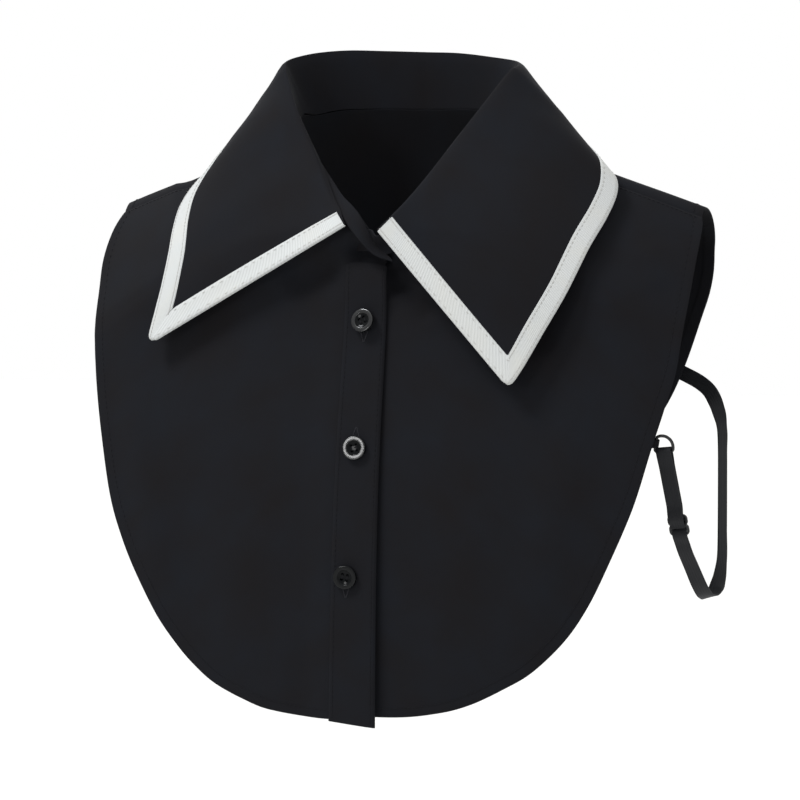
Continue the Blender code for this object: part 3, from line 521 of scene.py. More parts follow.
def on_body(across, along, lift=0.0):
    """Point at a lift off the figure."""
    return body_point(across, along) + body_normal(across, along) * lift


def along_at_height(across, height, behind=False):
    """Where a column of the figure passes a height."""
    _, ridge_height, _, wall_height, bend = body_column(abs(across), behind)
    if height < wall_height:
        distance = ROLL_LENGTH + wall_height - height
    else:
        level = min((height - wall_height) / (ridge_height - wall_height), 1.0)
        distance = math.acos(level ** (1 / bend)) * ROLL_LENGTH * 2 / math.pi
    return -distance if behind else distance


def along_at_depth(across, depth):
    """Where a column of the figure's back passes a depth."""
    ridge_depth, _, wall_depth, _, _ = body_column(abs(across), True)
    level = min(max((depth - ridge_depth) / (wall_depth - ridge_depth), 0.0), 1.0)
    return -math.asin(level) * ROLL_LENGTH * 2 / math.pi


def clear_of_body(point, direction, clearance):
    """Point moved softly along a direction where it comes closer to the figure than a clearance."""

    def distance(along):
        return (figure_point(point.x, along) - point).length

    step = 12 * MM
    best = min((index * step for index in range(-10, 18)), key=distance)
    while step > 0.02 * MM:
        step *= 0.5
        best = min((best - step, best, best + step), key=distance)
    offset = point - figure_point(point.x, best)
    height = offset.length if offset.dot(direction) > 0 else -offset.length
    short = clearance - height
    return point + direction * (short + math.sqrt(short * short + LEAF_SOFTNESS * LEAF_SOFTNESS)) / 2


def patch(top, bottom, inner, outer):
    """Surface in the (across, along) plane between four border curves."""
    corner_a, corner_b = top(0), top(1)
    corner_c, corner_d = bottom(0), bottom(1)

    def at(u, v):
        return (
            top(u) * (1 - v) + bottom(u) * v + inner(v) * (1 - u) + outer(v) * u
            - corner_a * ((1 - u) * (1 - v)) - corner_b * (u * (1 - v))
            - corner_c * ((1 - u) * v) - corner_d * (u * v)
        )

    return at


def flat_points(rows, behind=False):
    """Rows of (across, height) in millimetres as (across, along) points."""
    points = []
    for across, height in rows:
        points.append(Vector((across * MM, along_at_height(across * MM, height * MM, behind))))
    return points


def two_part(first, second, share):
    """Border that runs along one curve up to a share and then along another."""

    def at(u):
        if u <= share:
            return first(u / share)
        return second((u - share) / (1 - share))

    return at


def panel_patch(neckline, neck_point, shoulder_point, outline, side_share, neck_share):
    """Patch of a panel: neckline and shoulder on top, armhole and side, hem, and a straight middle."""

    def shoulder(u):
        return neck_point.lerp(shoulder_point, u)

    def bottom(u):
        return outline(1 - u * (1 - side_share))

    def outer(v):
        return outline(v * side_share)

    top = two_part(neckline, shoulder, neck_share)

    def inner(v):
        return top(0).lerp(bottom(0), v)

    return patch(top, bottom, inner, outer)


def front_patch(side):
    """One front in the (across, along) plane, on its own side of the middle."""
    neck_point = Vector((NECK_SIDE, SHOULDER_SEAM))
    shoulder_point = Vector((SHOULDER_HALF_WIDTH, SHOULDER_SEAM))
    under_placket = 1 if side == "right" else 0
    neck_rows = [row[:2] for row in BAND_ENDS[side][under_placket:] + BAND_FRONT[side][:-1]]
    neckline = route(flat_points(neck_rows) + [neck_point])
    outline = route([shoulder_point] + flat_points(FRONT_OUTLINE[side]))
    return panel_patch(neckline, neck_point, shoulder_point, outline, SIDE_SHARE, NECK_SHARE)


def lap_lift(across):
    """Lift of the upper front where it lies over the lower one."""
    return LAP_LIFT * smooth_step((LAP_END - across) / (LAP_END - LAP_START))


def band_points(side):
    """Points of the neckline and of the top edge, from one front end to the middle of the back."""
    sign = SIDES[side]
    neck_points = []
    top_points = []
    for across, height, seat, rise, *top in BAND_ENDS[side] + BAND_FRONT[side]:
        lift = seat * MM + (lap_lift(across * MM) if side == "right" else 0.0)
        along = along_at_height(across * MM, (height + rise) * MM)
        neck_points.append(on_body(sign * across * MM, along, lift))
        top_points.append(Vector((sign * top[0], top[1], top[2])) * MM)
    for across, depth, *top in BAND_BACK[side]:
        along = along_at_depth(across * MM, depth * MM)
        neck_points.append(on_body(sign * across * MM, along, BAND_BACK_LIFT))
        top_points.append(Vector((sign * top[0], top[1], top[2])) * MM)
    return neck_points, top_points


def strap_line(side):
    """Function from a distance along the elastic to its middle, tangent, width and face directions."""
    sign = SIDES[side]
    points = []
    widths = []
    swing = STRAP_SWING[side]
    swung = tuple((outward * swing, *rest) for outward, *rest in STRAP_ROUTE)
    for outward, depth, height, *width in swung + STRAP_END[side]:
        points.append(Vector((sign * (STRAP_BASE + outward * MM), depth * MM, height * MM)))
        widths.append(Vector((sign * width[0], width[1], width[2])))
    line = route(points)
    stations = [0.0]
    for first, second in zip(points, points[1:]):
        stations.append(stations[-1] + (second - first).length)

    def width_at(share):
        target = min(max(share, 0.0), 1.0) * stations[-1]
        index = 0
        while index < len(stations) - 2 and target > stations[index + 1]:
            index += 1
        part = (target - stations[index]) / (stations[index + 1] - stations[index])
        return widths[index].lerp(widths[index + 1], smooth_step(part))

    def at(distance):
        share = distance / line.length
        step = 0.01
        tangent = (line(share + step) - line(share - step)).normalized()
        width = width_at(share)
        width = (width - tangent * width.dot(tangent)).normalized()
        middle = line(share)
        if distance < 0:
            middle = line(0) + tangent * distance
        return middle, tangent, width, width.cross(tangent)

    at.length = line.length
    return at


# ------------------------------ sizes and colours that a user would change


def srgb(text):
    """Linear colour of an sRGB hex value."""
    values = [int(text[index:index + 2], 16) / 255 for index in (1, 3, 5)]
    return tuple(value / 12.92 if value <= 0.04045 else ((value + 0.055) / 1.055) ** 2.4 for value in values)


def length_property(name, description, default):
    """A length in metres, shown in the scene's unit."""
    return bpy.props.FloatProperty(name=name, description=description, default=default, min=0.0, unit="LENGTH")


def colour_property(name, description, default):
    """A colour, given as an sRGB hex value."""
    return bpy.props.FloatVectorProperty(
        name=name, description=description, default=srgb(default), size=3, min=0.0, max=1.0, subtype="COLOR"
    )


class CollarSizes(bpy.types.PropertyGroup):
    """Sizes of the cloth and the sewing."""

    cloth: length_property("Cloth", "Thickness of the shirting", 0.6 * MM)
    leaf: length_property("Collar leaf", "Thickness of the leaf's layers and interlining", 1.4 * MM)
    band: length_property("Neck band", "Thickness of the neck band", 1.1 * MM)
    hem: length_property("Hem", "Width of the turned hem", 6 * MM)
    ribbon_width: length_property("Ribbon width", "Width of the ribbon on the leaf", 10.4 * MM)
    ribbon: length_property("Ribbon", "Thickness of the ribbon", 0.45 * MM)
    ribbon_over: length_property("Ribbon overhang", "How far the ribbon stands past the leaf's edge", 0.35 * MM)
    tip_radius: length_property("Point radius", "Rounding of the two collar points", 2.8 * MM)
    stitch: length_property("Stitch", "Length of a stitch", 2.2 * MM)
    stitch_space: length_property("Stitch space", "Space between two stitches", 0.6 * MM)
    thread: length_property("Thread", "Half the thickness of the sewing thread", 0.17 * MM)
    placket: length_property("Button band", "Thickness of the button band", 0.5 * MM)
    button: length_property("Button", "Radius of a button", 6.6 * MM)
    elastic: length_property("Elastic", "Thickness of the elastic", 0.8 * MM)


class CollarColours(bpy.types.PropertyGroup):
    """Colours of the cloth, the fittings and the stage."""

    shirting: colour_property("Shirting", "Black shirting", "#0e0e11")
    ribbon: colour_property("Ribbon", "Off-white ribbed ribbon", "#aaacab")
    ribbon_thread: colour_property("Ribbon thread", "Thread that holds the ribbon", "#a09f9b")
    thread: colour_property("Thread", "Thread on the shirting", "#0f0f12")
    buttonhole: colour_property("Buttonhole", "Thread round the buttonholes", "#29292d")
    button: colour_property("Button", "Polished resin", "#0c0d0e")
    elastic: colour_property("Elastic", "Woven elastic", "#0d0e11")
    wire: colour_property("Ring", "Coated wire", "#0c0d0e")
    nylon: colour_property("Slider", "Moulded nylon", "#121415")
    floor: colour_property("Floor", "Painted studio floor", "#f4f4f2")


# ------------------------------ materials


def add_node(tree, kind, inputs, **properties):
    """New node with its properties, and with each input set to a value or linked from a socket."""
    node = tree.nodes.new(kind)
    for name, value in properties.items():
        setattr(node, name, value)
    for name, value in inputs.items():
        if isinstance(value, bpy.types.NodeSocket):
            tree.links.new(value, node.inputs[name])
        else:
            node.inputs[name].default_value = value
    return node


def new_material(name, colour, roughness, **sockets):
    """Principled material with its constant values on the shader's own sockets."""
    material = bpy.data.materials.new(name)
    material.use_nodes = True
    shader = material.node_tree.nodes["Principled BSDF"]
    shader.inputs["Base Color"].default_value = (*colour, 1.0)
    shader.inputs["Roughness"].default_value = roughness
    for socket, value in sockets.items():
        shader.inputs[socket.replace("_", " ")].default_value = value
    material.diffuse_color = (*colour, 1.0)
    return material, material.node_tree, shader


def wave_of(tree, value, pitch, phase=0.0):
    """Sine of a distance, one full turn for each pitch."""
    turned = add_node(
        tree, "ShaderNodeMath", {0: value, 1: 2 * math.pi / pitch, 2: phase}, operation="MULTIPLY_ADD"
    )
    return add_node(tree, "ShaderNodeMath", {0: turned.outputs[0]}, operation="SINE").outputs[0]


def grain(tree, shader, scale, detail, strength, depth):
    """Fine grain in the piece's own coordinates, raised as a bump; gives the grain's value."""
    place = add_node(tree, "ShaderNodeTexCoord", {}).outputs["Object"]
    noise = add_node(
        tree, "ShaderNodeTexNoise", {"Vector": place, "Scale": scale, "Detail": detail}
    ).outputs["Fac"]
    bump = add_node(tree, "ShaderNodeBump", {"Height": noise, "Strength": strength, "Distance": depth})
    tree.links.new(bump.outputs["Normal"], shader.inputs["Normal"])
    return noise


def cloth_lengths(tree):
    """Distances along and across the cloth, in metres, from the piece's own UV map."""
    place = add_node(tree, "ShaderNodeTexCoord", {})
    apart = add_node(tree, "ShaderNodeSeparateXYZ", {"Vector": place.outputs["UV"]})
    return place.outputs["UV"], apart.outputs["X"], apart.outputs["Y"]


def black_poplin(colour):
    """Cotton and polyester poplin, piece-dyed black and pressed.

    It gives the eye a dense plain weave with a matt, slightly cold bloom.
    """
    material, tree, shader = new_material(
        "black_poplin", colour, 0.82, Specular_IOR_Level=0.09, Sheen_Weight=0.025, Sheen_Roughness=0.35
    )
    flat, along, across = cloth_lengths(tree)
    # Poplin has about 4 threads in a millimetre. They are drawn at 0.8 mm so that they show at all.
    weave = add_node(
        tree, "ShaderNodeMath", {0: wave_of(tree, along, 0.8 * MM), 1: wave_of(tree, across, 0.8 * MM)},
        operation="MULTIPLY",
    )
    slubs = add_node(
        tree, "ShaderNodeTexNoise", {"Vector": flat, "Scale": 420.0, "Detail": 3.0, "Roughness": 0.6}
    ).outputs["Fac"]
    rise = add_node(tree, "ShaderNodeMath", {0: weave.outputs[0], 1: 0.35, 2: slubs}, operation="MULTIPLY_ADD")
    bump = add_node(
        tree, "ShaderNodeBump", {"Height": rise.outputs[0], "Strength": 0.22, "Distance": 0.15 * MM}
    )
    tree.links.new(bump.outputs["Normal"], shader.inputs["Normal"])
    clouds = add_node(tree, "ShaderNodeTexNoise", {"Vector": flat, "Scale": 26.0, "Detail": 4.0}).outputs["Fac"]
    cold = (colour[0] * 1.04, colour[1] * 1.2, colour[2] * 1.32)
    warm = (colour[0] * 0.98, colour[1] * 0.88, colour[2] * 0.82)
    share = add_node(
        tree, "ShaderNodeMapRange", {"Value": clouds, "From Min": 0.3, "From Max": 0.7}
    ).outputs["Result"]
    tint = add_node(tree, "ShaderNodeMix", {0: share, 6: (*warm, 1.0), 7: (*cold, 1.0)}, data_type="RGBA")
    tree.links.new(tint.outputs[2], shader.inputs["Base Color"])
    return material


def ribbed_ribbon(colour):
    """Off-white polyester grosgrain, heat set: fine ribs across its width, with painted shade in the grooves
    between them.
    """
    material, tree, shader = new_material(
        "ribbed_ribbon", colour, 0.7, Specular_IOR_Level=0.35, Sheen_Weight=0.1
    )
    flat, along, across = cloth_lengths(tree)
    # Real ribs lie 0.5 mm apart. They are drawn at 1.1 mm so that they show.
    ribs = wave_of(tree, along, 1.1 * MM)
    threads = wave_of(tree, across, 0.5 * MM)
    rise = add_node(tree, "ShaderNodeMath", {0: threads, 1: 0.25, 2: ribs}, operation="MULTIPLY_ADD")
    bump = add_node(
        tree, "ShaderNodeBump", {"Height": rise.outputs[0], "Strength": 0.35, "Distance": 0.12 * MM}
    )
    tree.links.new(bump.outputs["Normal"], shader.inputs["Normal"])
    # Painted shade: the grooves between the ribs get a darker copy of the ribbon's colour.
    shade_in_grooves = add_node(
        tree, "ShaderNodeMapRange", {"Value": ribs, "From Min": -1.0, "From Max": 0.2}
    ).outputs["Result"]
    painted_groove_shade = tuple(value * 0.86 for value in colour)
    tint = add_node(tree, "ShaderNodeMix", {0: shade_in_grooves, 6: (*painted_groove_shade, 1.0), 7: (*colour, 1.0)}, data_type="RGBA")
    clouds = add_node(tree, "ShaderNodeTexNoise", {"Vector": flat, "Scale": 60.0, "Detail": 3.0}).outputs["Fac"]
    warm = (colour[0] * 0.98, colour[1] * 0.96, colour[2] * 0.92)
    share = add_node(
        tree, "ShaderNodeMapRange", {"Value": clouds, "From Min": 0.45, "From Max": 0.8}
    ).outputs["Result"]
    aged = add_node(
        tree, "ShaderNodeMix", {0: share, 6: tint.outputs[2], 7: (*warm, 1.0)}, data_type="RGBA"
    )
    tree.links.new(aged.outputs[2], shader.inputs["Base Color"])
    return material


def spun_thread(name, colour):
    """Spun polyester sewing thread: a soft twist with a faint sheen."""
    material, tree, shader = new_material(name, colour, 0.75, Specular_IOR_Level=0.12)
    grain(tree, shader, 3000.0, 2.0, 0.3, 0.05 * MM)
    return material


def polished_resin(colour):
    """Cast polyester button, turned and tumbled: a satin rim round a darker, glossier dish."""
    material, tree, shader = new_material("polished_resin", colour, 0.16, IOR=1.53)
    wear = grain(tree, shader, 900.0, 3.0, 0.08, 0.05 * MM)
    rim = add_node(tree, "ShaderNodeAttribute", {}, attribute_name="rim").outputs["Fac"]
    satin = add_node(tree, "ShaderNodeMapRange", {"Value": rim, "To Min": 0.08, "To Max": 0.2})
    rough = add_node(
        tree, "ShaderNodeMath", {0: wear, 1: 0.08, 2: satin.outputs["Result"]}, operation="MULTIPLY_ADD"
    )
    tree.links.new(rough.outputs[0], shader.inputs["Roughness"])
    shine = add_node(tree, "ShaderNodeMapRange", {"Value": rim, "To Min": 0.06, "To Max": 0.6})
    tree.links.new(shine.outputs["Result"], shader.inputs["Specular IOR Level"])
    return material


def woven_elastic(colour):
    """Narrow woven elastic over rubber cores: ribs along its length and fine picks across, with a low sheen."""
    material, tree, shader = new_material("woven_elastic", colour, 0.6, Specular_IOR_Level=0.16)
    flat, along, across = cloth_lengths(tree)
    ribs = wave_of(tree, across, 1.4 * MM)
    picks = wave_of(tree, along, 0.9 * MM)
    rise = add_node(tree, "ShaderNodeMath", {0: picks, 1: 0.5, 2: ribs}, operation="MULTIPLY_ADD")
    bump = add_node(tree, "ShaderNodeBump", {"Height": rise.outputs[0], "Strength": 0.4, "Distance": 0.1 * MM})
    tree.links.new(bump.outputs["Normal"], shader.inputs["Normal"])
    clouds = add_node(tree, "ShaderNodeTexNoise", {"Vector": flat, "Scale": 140.0}).outputs["Fac"]
    lighter = tuple(value * 1.35 for value in colour)
    tint = add_node(tree, "ShaderNodeMix", {0: clouds, 6: (*colour, 1.0), 7: (*lighter, 1.0)}, data_type="RGBA")
    tree.links.new(tint.outputs[2], shader.inputs["Base Color"])
    return material


def coated_wire(colour):
    """Steel wire with a baked black coat: hard, even and half glossy."""
    material, tree, shader = new_material("coated_wire", colour, 0.4, IOR=1.4)
    grain(tree, shader, 1400.0, 2.0, 0.1, 0.05 * MM)
    return material


def moulded_nylon(colour):
    """Injection moulded nylon: satin, with the mould's fine grain."""
    material, tree, shader = new_material("moulded_nylon", colour, 0.42, IOR=1.45, Specular_IOR_Level=0.3)
    grain(tree, shader, 2200.0, 2.0, 0.15, 0.05 * MM)
    return material


def painted_floor(colour):
    """Matt white studio paint, rolled on."""
    material, tree, shader = new_material("painted_floor", colour, 0.9, Specular_IOR_Level=0.2)
    grain(tree, shader, 60.0, 2.0, 0.05, 1 * MM)
    return material


def material_of(maker, *arguments):
    """The material that a maker gives, made once."""
    key = "_".join([maker.__name__] + [text for text in arguments if isinstance(text, str)])
    if key not in MATERIALS:
        MATERIALS[key] = maker(*arguments)
    return MATERIALS[key]


MATERIALS = {}

# ------------------------------ modelling helpers


def make_active(piece):
    """Leaves one piece selected and active, and nothing else selected."""
    deselect()
    piece.select_set(True)
    bpy.context.view_layer.objects.active = piece


def deselect():
    """Leaves nothing selected, so that an operator acts on the new piece alone."""
    if bpy.context.object and bpy.context.object.mode != "OBJECT":
        bpy.ops.object.mode_set(mode="OBJECT")
    bpy.ops.object.select_all(action="DESELECT")


def apply_modifier(piece, kind, **settings):
    """Adds a modifier to the active piece and applies it."""
    bpy.ops.object.modifier_add(type=kind)
    modifier = piece.modifiers[-1]
    for name, value in settings.items():
        setattr(modifier, name, value)
    bpy.ops.object.modifier_apply(modifier=modifier.name)


def cloth(name, columns, rows, surface, metres, thickness, material, turned=False, edge=0.0):
    """Sheet of cloth on a surface of (u, v), both 0 to 1, with its UV map in metres.

    The surface is its inner face; its thickness lies outside.
    """
    deselect()
    bpy.ops.mesh.primitive_grid_add(x_subdivisions=columns, y_subdivisions=rows, size=1)
    piece = bpy.context.object
    piece.name = name
    mesh = piece.data
    mesh.name = name
    places = [(vertex.co.x + 0.5, vertex.co.y + 0.5) for vertex in mesh.vertices]
    for vertex, (u, v) in zip(mesh.vertices, places):
        vertex.co = surface(u, v)
    flat = mesh.uv_layers.active.data
    for loop in mesh.loops:
        flat[loop.index].uv = metres(*places[loop.vertex_index])
    if turned:
        bpy.ops.object.mode_set(mode="EDIT")
        bpy.ops.mesh.select_all(action="SELECT")
        bpy.ops.mesh.flip_normals()
        bpy.ops.object.mode_set(mode="OBJECT")
    apply_modifier(piece, "SOLIDIFY", thickness=thickness, offset=1.0, use_even_offset=False)
    if edge:
        apply_modifier(
            piece, "BEVEL", width=edge, segments=2, limit_method="ANGLE", angle_limit=math.radians(60)
        )
    bpy.ops.object.shade_smooth_by_angle(angle=math.radians(50))
    mesh.materials.append(material)
    return piece


def belongs(piece, nodes):
    """The piece rides with the collar and stands for its nodes, whose imported parts are hidden."""
    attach(piece, BODY)
    if nodes:
        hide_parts(*nodes)


def joined_copies(name, template, places, material):
    """One mesh of a small template copied to many places."""
    joined = bmesh.new()
    for place in places:
        copy = template.copy()
        copy.transform(place)
        joined.from_mesh(copy)
        bpy.data.meshes.remove(copy)
    mesh = bpy.data.meshes.new(name)
    joined.to_mesh(mesh)
    joined.free()
    mesh.shade_smooth()
    piece = bpy.data.objects.new(name, mesh)
    mesh.materials.append(material)
    bpy.context.scene.collection.objects.link(piece)
    return piece


def stitch_template(length, radius):
    """One stitch of thread, lying along X with its ends dipping into the cloth."""
    deselect()
    bpy.ops.mesh.primitive_uv_sphere_add(segments=6, ring_count=4, radius=1)
    piece = bpy.context.object
    mesh = piece.data
    mesh.transform(Matrix.Rotation(math.pi / 2, 4, "Y"))
    for vertex in mesh.vertices:
        share = vertex.co.x
        vertex.co = Vector((share * length / 2, vertex.co.y * radius, vertex.co.z * radius))
        vertex.co.z += radius * (0.5 - 1.1 * share * share)
    bpy.data.objects.remove(piece)
    return mesh


def basis(origin, along, normal):
    """Place with X along a seam and Z out of the cloth."""
    along = along.normalized()
    side = normal.cross(along).normalized()
    return Matrix.Translation(origin) @ Matrix((along, side, along.cross(side))).transposed().to_4x4()


def seam_places(line, length, pitch):
    """Places of the stitches on a line, a function from a share of its length to a point and a normal."""
    count = max(int(length / pitch), 1)
    places = []
    for index in range(count):
        share = (index + 0.5) / count
        point, normal = line(share)
        after, _ = line(min(share + 0.3 / count, 1.0))
        before, _ = line(max(share - 0.3 / count, 0.0))
        places.append(basis(point, after - before, normal))
    return places


def line_length(line, steps=60):
    """Length of a line of points and normals."""
    points = [line(index / steps)[0] for index in range(steps + 1)]
    return sum((second - first).length for first, second in zip(points, points[1:]))


def sew(name, lines, sizes, material):
    """Rows of stitches, one row on each line."""
    template = stitch_template(sizes.stitch, sizes.thread)
    places = []
    for line in lines:
        places += seam_places(line, line_length(line), sizes.stitch + sizes.stitch_space)
    piece = joined_copies(name, template, places, material)
    bpy.data.meshes.remove(template)
    return piece


# ------------------------------ fronts, back and button band


def crease_lift(creases, across, height):
    """How far the soft folds lift the cloth at a place."""
    total = 0.0
    for start_x, start_z, end_x, end_z, half_width, lift in creases:
        start = Vector((start_x, start_z)) * MM
        run = Vector((end_x, end_z)) * MM - start
        place = Vector((across, height)) - start
        share = min(max(place.dot(run) / run.length_squared, 0.0), 1.0)
        away = (place - run * share).length / (half_width * MM)
        fade = smooth_step(min(share, 1 - share) * CREASE_FADE)
        total += lift * MM * math.exp(-away * away) * (CREASE_END + (1 - CREASE_END) * fade)
    return total


def lap_opening(across, height):
    """How far the free edge of the upper front stands off, more towards the hem."""
    share = smooth_step((across + LAP_OPENING_INSIDE) / LAP_OPENING_WIDTH)
    return LAP_OPENING * share * max(0.0, -height / MM - LAP_OPENING_TOP) / LAP_OPENING_LENGTH


def front_lift(side, across, along):
    """Lift of the inner face of a front; across is counted on the front's own side."""
    height = body_point(across, along).z
    lift = CLOTH_OFF_BODY + crease_lift(FRONT_CREASES[side], across, height)
    if side == "right":
        lift += lap_lift(across) + lap_opening(-across, height)
    return lift


def front_at(side, place, over=0.0):
    """Point of a front at a place in the (across, along) plane."""
    return on_body(SIDES[side] * place.x, place.y, front_lift(side, place.x, place.y) + over)


def back_patch():
    """Half of the back in the (across, along) plane."""
    neck_points = []
    for across, depth, *_ in reversed(BAND_BACK["left"]):
        neck_points.append(Vector((across * MM, along_at_depth(across * MM, depth * MM))))
    neck_points.append(Vector((NECK_SIDE, SHOULDER_SEAM + SHOULDER_LAP)))
    neckline = route(neck_points)
    shoulder_point = Vector((SHOULDER_HALF_WIDTH, SHOULDER_SEAM + SHOULDER_LAP))
    outline = route([shoulder_point] + flat_points(BACK_OUTLINE, behind=True))
    return panel_patch(neckline, neck_points[-1], shoulder_point, outline, BACK_SIDE_SHARE, BACK_NECK_SHARE)


def back_at(sign, place, over=0.0):
    """Point of the back at a place in the (across, along) plane."""
    height = body_point(place.x, place.y).z
    lift = CLOTH_OFF_BODY + crease_lift(BACK_CREASES, sign * place.x, height)
    lift -= SHOULDER_LAP_DROP * smooth_step((place.y - SHOULDER_SEAM + SHOULDER_LAP_START) / SHOULDER_LAP_FADE)
    return on_body(sign * place.x, place.y, lift + over)


def make_front(side, sizes, colours):
    """One front with its turned hem and its rows of stitches."""
    place_of = front_patch(side)
    shirting = material_of(black_poplin, colours.shirting)

    def surface(u, v):
        return front_at(side, place_of(u, v))

    def metres(u, v):
        return tuple(place_of(u, v))

    name = "front_%s_cloth" % side
    turned = side == "left"
    panel = cloth(name, 76, 100, surface, metres, sizes.cloth, shirting, turned, 0.12 * MM)
    belongs(panel, ["front_" + side])

    def point_at(place, over):
        return front_at(side, place, over)

    hem = hem_strip("front_%s_hem" % side, round_edge(place_of), point_at, sizes, shirting, turned)
    sewing = sew_front(side, place_of, sizes, colours)
    return panel, hem, sewing


def border(place_of, name):
    """Function from a share of an edge of a patch to a place and the direction into the cloth."""
    step = 0.01

    def place(share, inset=0.0):
        return place_of(1 - inset, share) if name == "outer" else place_of(share, 1 - inset)

    def at(share):
        here = place(share)
        along = (place(min(share + step, 1.0)) - place(max(share - step, 0.0))).normalized()
        inward = place(share, step) - here
        return here, (inward - along * inward.dot(along)).normalized()

    return at


def round_edge(place_of):
    """Armhole, side and hem of a patch in one run, with the direction into the cloth."""
    outer = border(place_of, "outer")
    bottom = border(place_of, "bottom")

    def at(share):
        if share <= 0.5:
            return outer(share * 2)
        return bottom(1 - (share - 0.5) * 2)

    return at


def hem_strip(name, edge, point_at, sizes, material, turned):
    """Turned-in hem, lying against the inner face along the armhole, the side and the hem."""

    def surface(u, v):
        here, inward = edge(u)
        inset, drop = between_rows(HEM_SECTION, v)
        return point_at(here + inward * (inset * sizes.hem + HEM_INSIDE), drop * MM)

    def metres(u, v):
        return u * HEM_UV_LENGTH, v * sizes.hem

    strip = cloth(name, 120, len(HEM_SECTION) - 1, surface, metres, HEM_THICKNESS, material, turned)
    belongs(strip, [])
    return strip


def surface_row(point_of):
    """Line for stitches from a function of (share, step along, step across) to a point."""

    def line(share):
        step = 0.4 * MM
        point = point_of(share, 0, 0)
        along = point_of(share, step, 0) - point_of(share, -step, 0)
        across = point_of(share, 0, step) - point_of(share, 0, -step)
        normal = along.cross(across).normalized()
        if normal.dot(point - Vector((0, 0, point.z))) < 0:
            normal = -normal
        return point, normal

    return line


def edge_stitches(edge, point_at, inset, over):
    """Line of stitches along the armhole, the side and the hem of a panel."""

    def point_of(share, along, across):
        here, inward = edge(share)
        return point_at(here + inward * inset + Vector((along, across)), over)

    return surface_row(point_of)


def sew_front(side, place_of, sizes, colours):
    """Stitches of a front: along the hem and on the shoulder seam."""

    def point_at(place, over):
        return front_at(side, place, over)

    over = sizes.cloth + sizes.thread * THREAD_LIFT
    lines = [edge_stitches(round_edge(place_of), point_at, sizes.hem - STITCH_INSET, over)]

    def shoulder(share):
        place = place_of(NECK_SHARE + (1 - NECK_SHARE) * (0.02 + 0.96 * share), 0)
        place += Vector((0, SHOULDER_STITCH_DOWN))
        point = point_at(place, over)
        return point, body_normal(SIDES[side] * place.x, place.y)

    lines.append(shoulder)
    thread = material_of(spun_thread, "black_thread", colours.thread)
    piece = sew("front_%s_stitches" % side, lines, sizes, thread)
    belongs(piece, [])
    return piece


def make_back(sizes, colours):
    """Back panel in one piece, with its turned hem and its stitches."""
    half = back_patch()
    shirting = material_of(black_poplin, colours.shirting)
    half_edge = round_edge(half)

    def signed(place, sign):
        return Vector((place.x * sign, place.y))

    def point_at(place, over):
        return back_at(1 if place.x >= 0 else -1, Vector((abs(place.x), place.y)), over)

    def edge(share):
        sign = 1 if share >= 0.5 else -1
        here, inward = half_edge(min(1 - abs(2 * share - 1), 0.995))
        return signed(here, sign), signed(inward, sign)

    def surface(u, v):
        return back_at(1 if u >= 0.5 else -1, half(abs(2 * u - 1), v))

    def metres(u, v):
        place = half(abs(2 * u - 1), v)
        return (place.x if u >= 0.5 else -place.x), -place.y

    panel = cloth("back_cloth", 88, 40, surface, metres, sizes.cloth, shirting, False, 0.12 * MM)
    belongs(panel, ["back"])
    hem = hem_strip("back_hem", edge, point_at, sizes, shirting, True)
    lines = [edge_stitches(edge, point_at, sizes.hem - STITCH_INSET, sizes.cloth + sizes.thread * THREAD_LIFT)]
    sewing = sew("back_stitches", lines, sizes, material_of(spun_thread, "black_thread", colours.thread))
    belongs(sewing, [])
    return panel, hem, sewing


def placket_lift(across, height, section_lift):
    """Lift of the button band over the figure."""
    crease = crease_lift(FRONT_CREASES["right"], -across, height)
    return section_lift * MM + crease + lap_opening(across, height)


def placket_point(across, share, section_lift):
    """Point of the button band: across from the middle, share of its height, lift of its section."""
    narrow = PLACKET_NARROW * (1 - share) if across > 0 else 0.0
    wide = across * (1 - narrow + PLACKET_FLARE / PLACKET_HALF_WIDTH * share)
    top = PLACKET_TOP - PLACKET_TOP_SLOPE * wide - PLACKET_TOP_ROUND * (wide / PLACKET_HALF_WIDTH) ** 6
    hem = FRONT_OUTLINE["right"][-1][1] * MM - PLACKET_HEM_DROP * (wide / PLACKET_HALF_WIDTH + PLACKET_HEM_BASE)
    height = top + (hem - top) * share
    return on_body(wide, along_at_height(abs(wide), height), placket_lift(wide, height, section_lift))


def make_placket(sizes, colours):
    """Button band: a strip folded round the free edge of the upper front."""
    shirting = material_of(black_poplin, colours.shirting)
    section = route([Vector((across, lift, 0)) for across, lift in PLACKET_SECTION], 8)

    def surface(u, v):
        place = section(u)
        return placket_point(place.x * MM, v, place.y)

    def metres(u, v):
        return u * section.length * MM, v * PLACKET_UV_LENGTH

    band = cloth("placket_cloth", 36, 100, surface, metres, sizes.placket, shirting, True)
    belongs(band, ["placket"])
    return band


def buttonhole(slit):
    """Places of the thread round a buttonhole; slit gives a point and normal for (share, sideways)."""
    places = []
    for sign in (-1, 1):

        def line(share):
            return slit(share, sign * (BUTTONHOLE_HALF_WIDTH * (1 - share) + BUTTONHOLE_GAP))

        for place in seam_places(line, line_length(line), BUTTONHOLE_PITCH):
            places.append(place @ Matrix.Rotation(math.pi / 2, 4, "Z"))
    return places


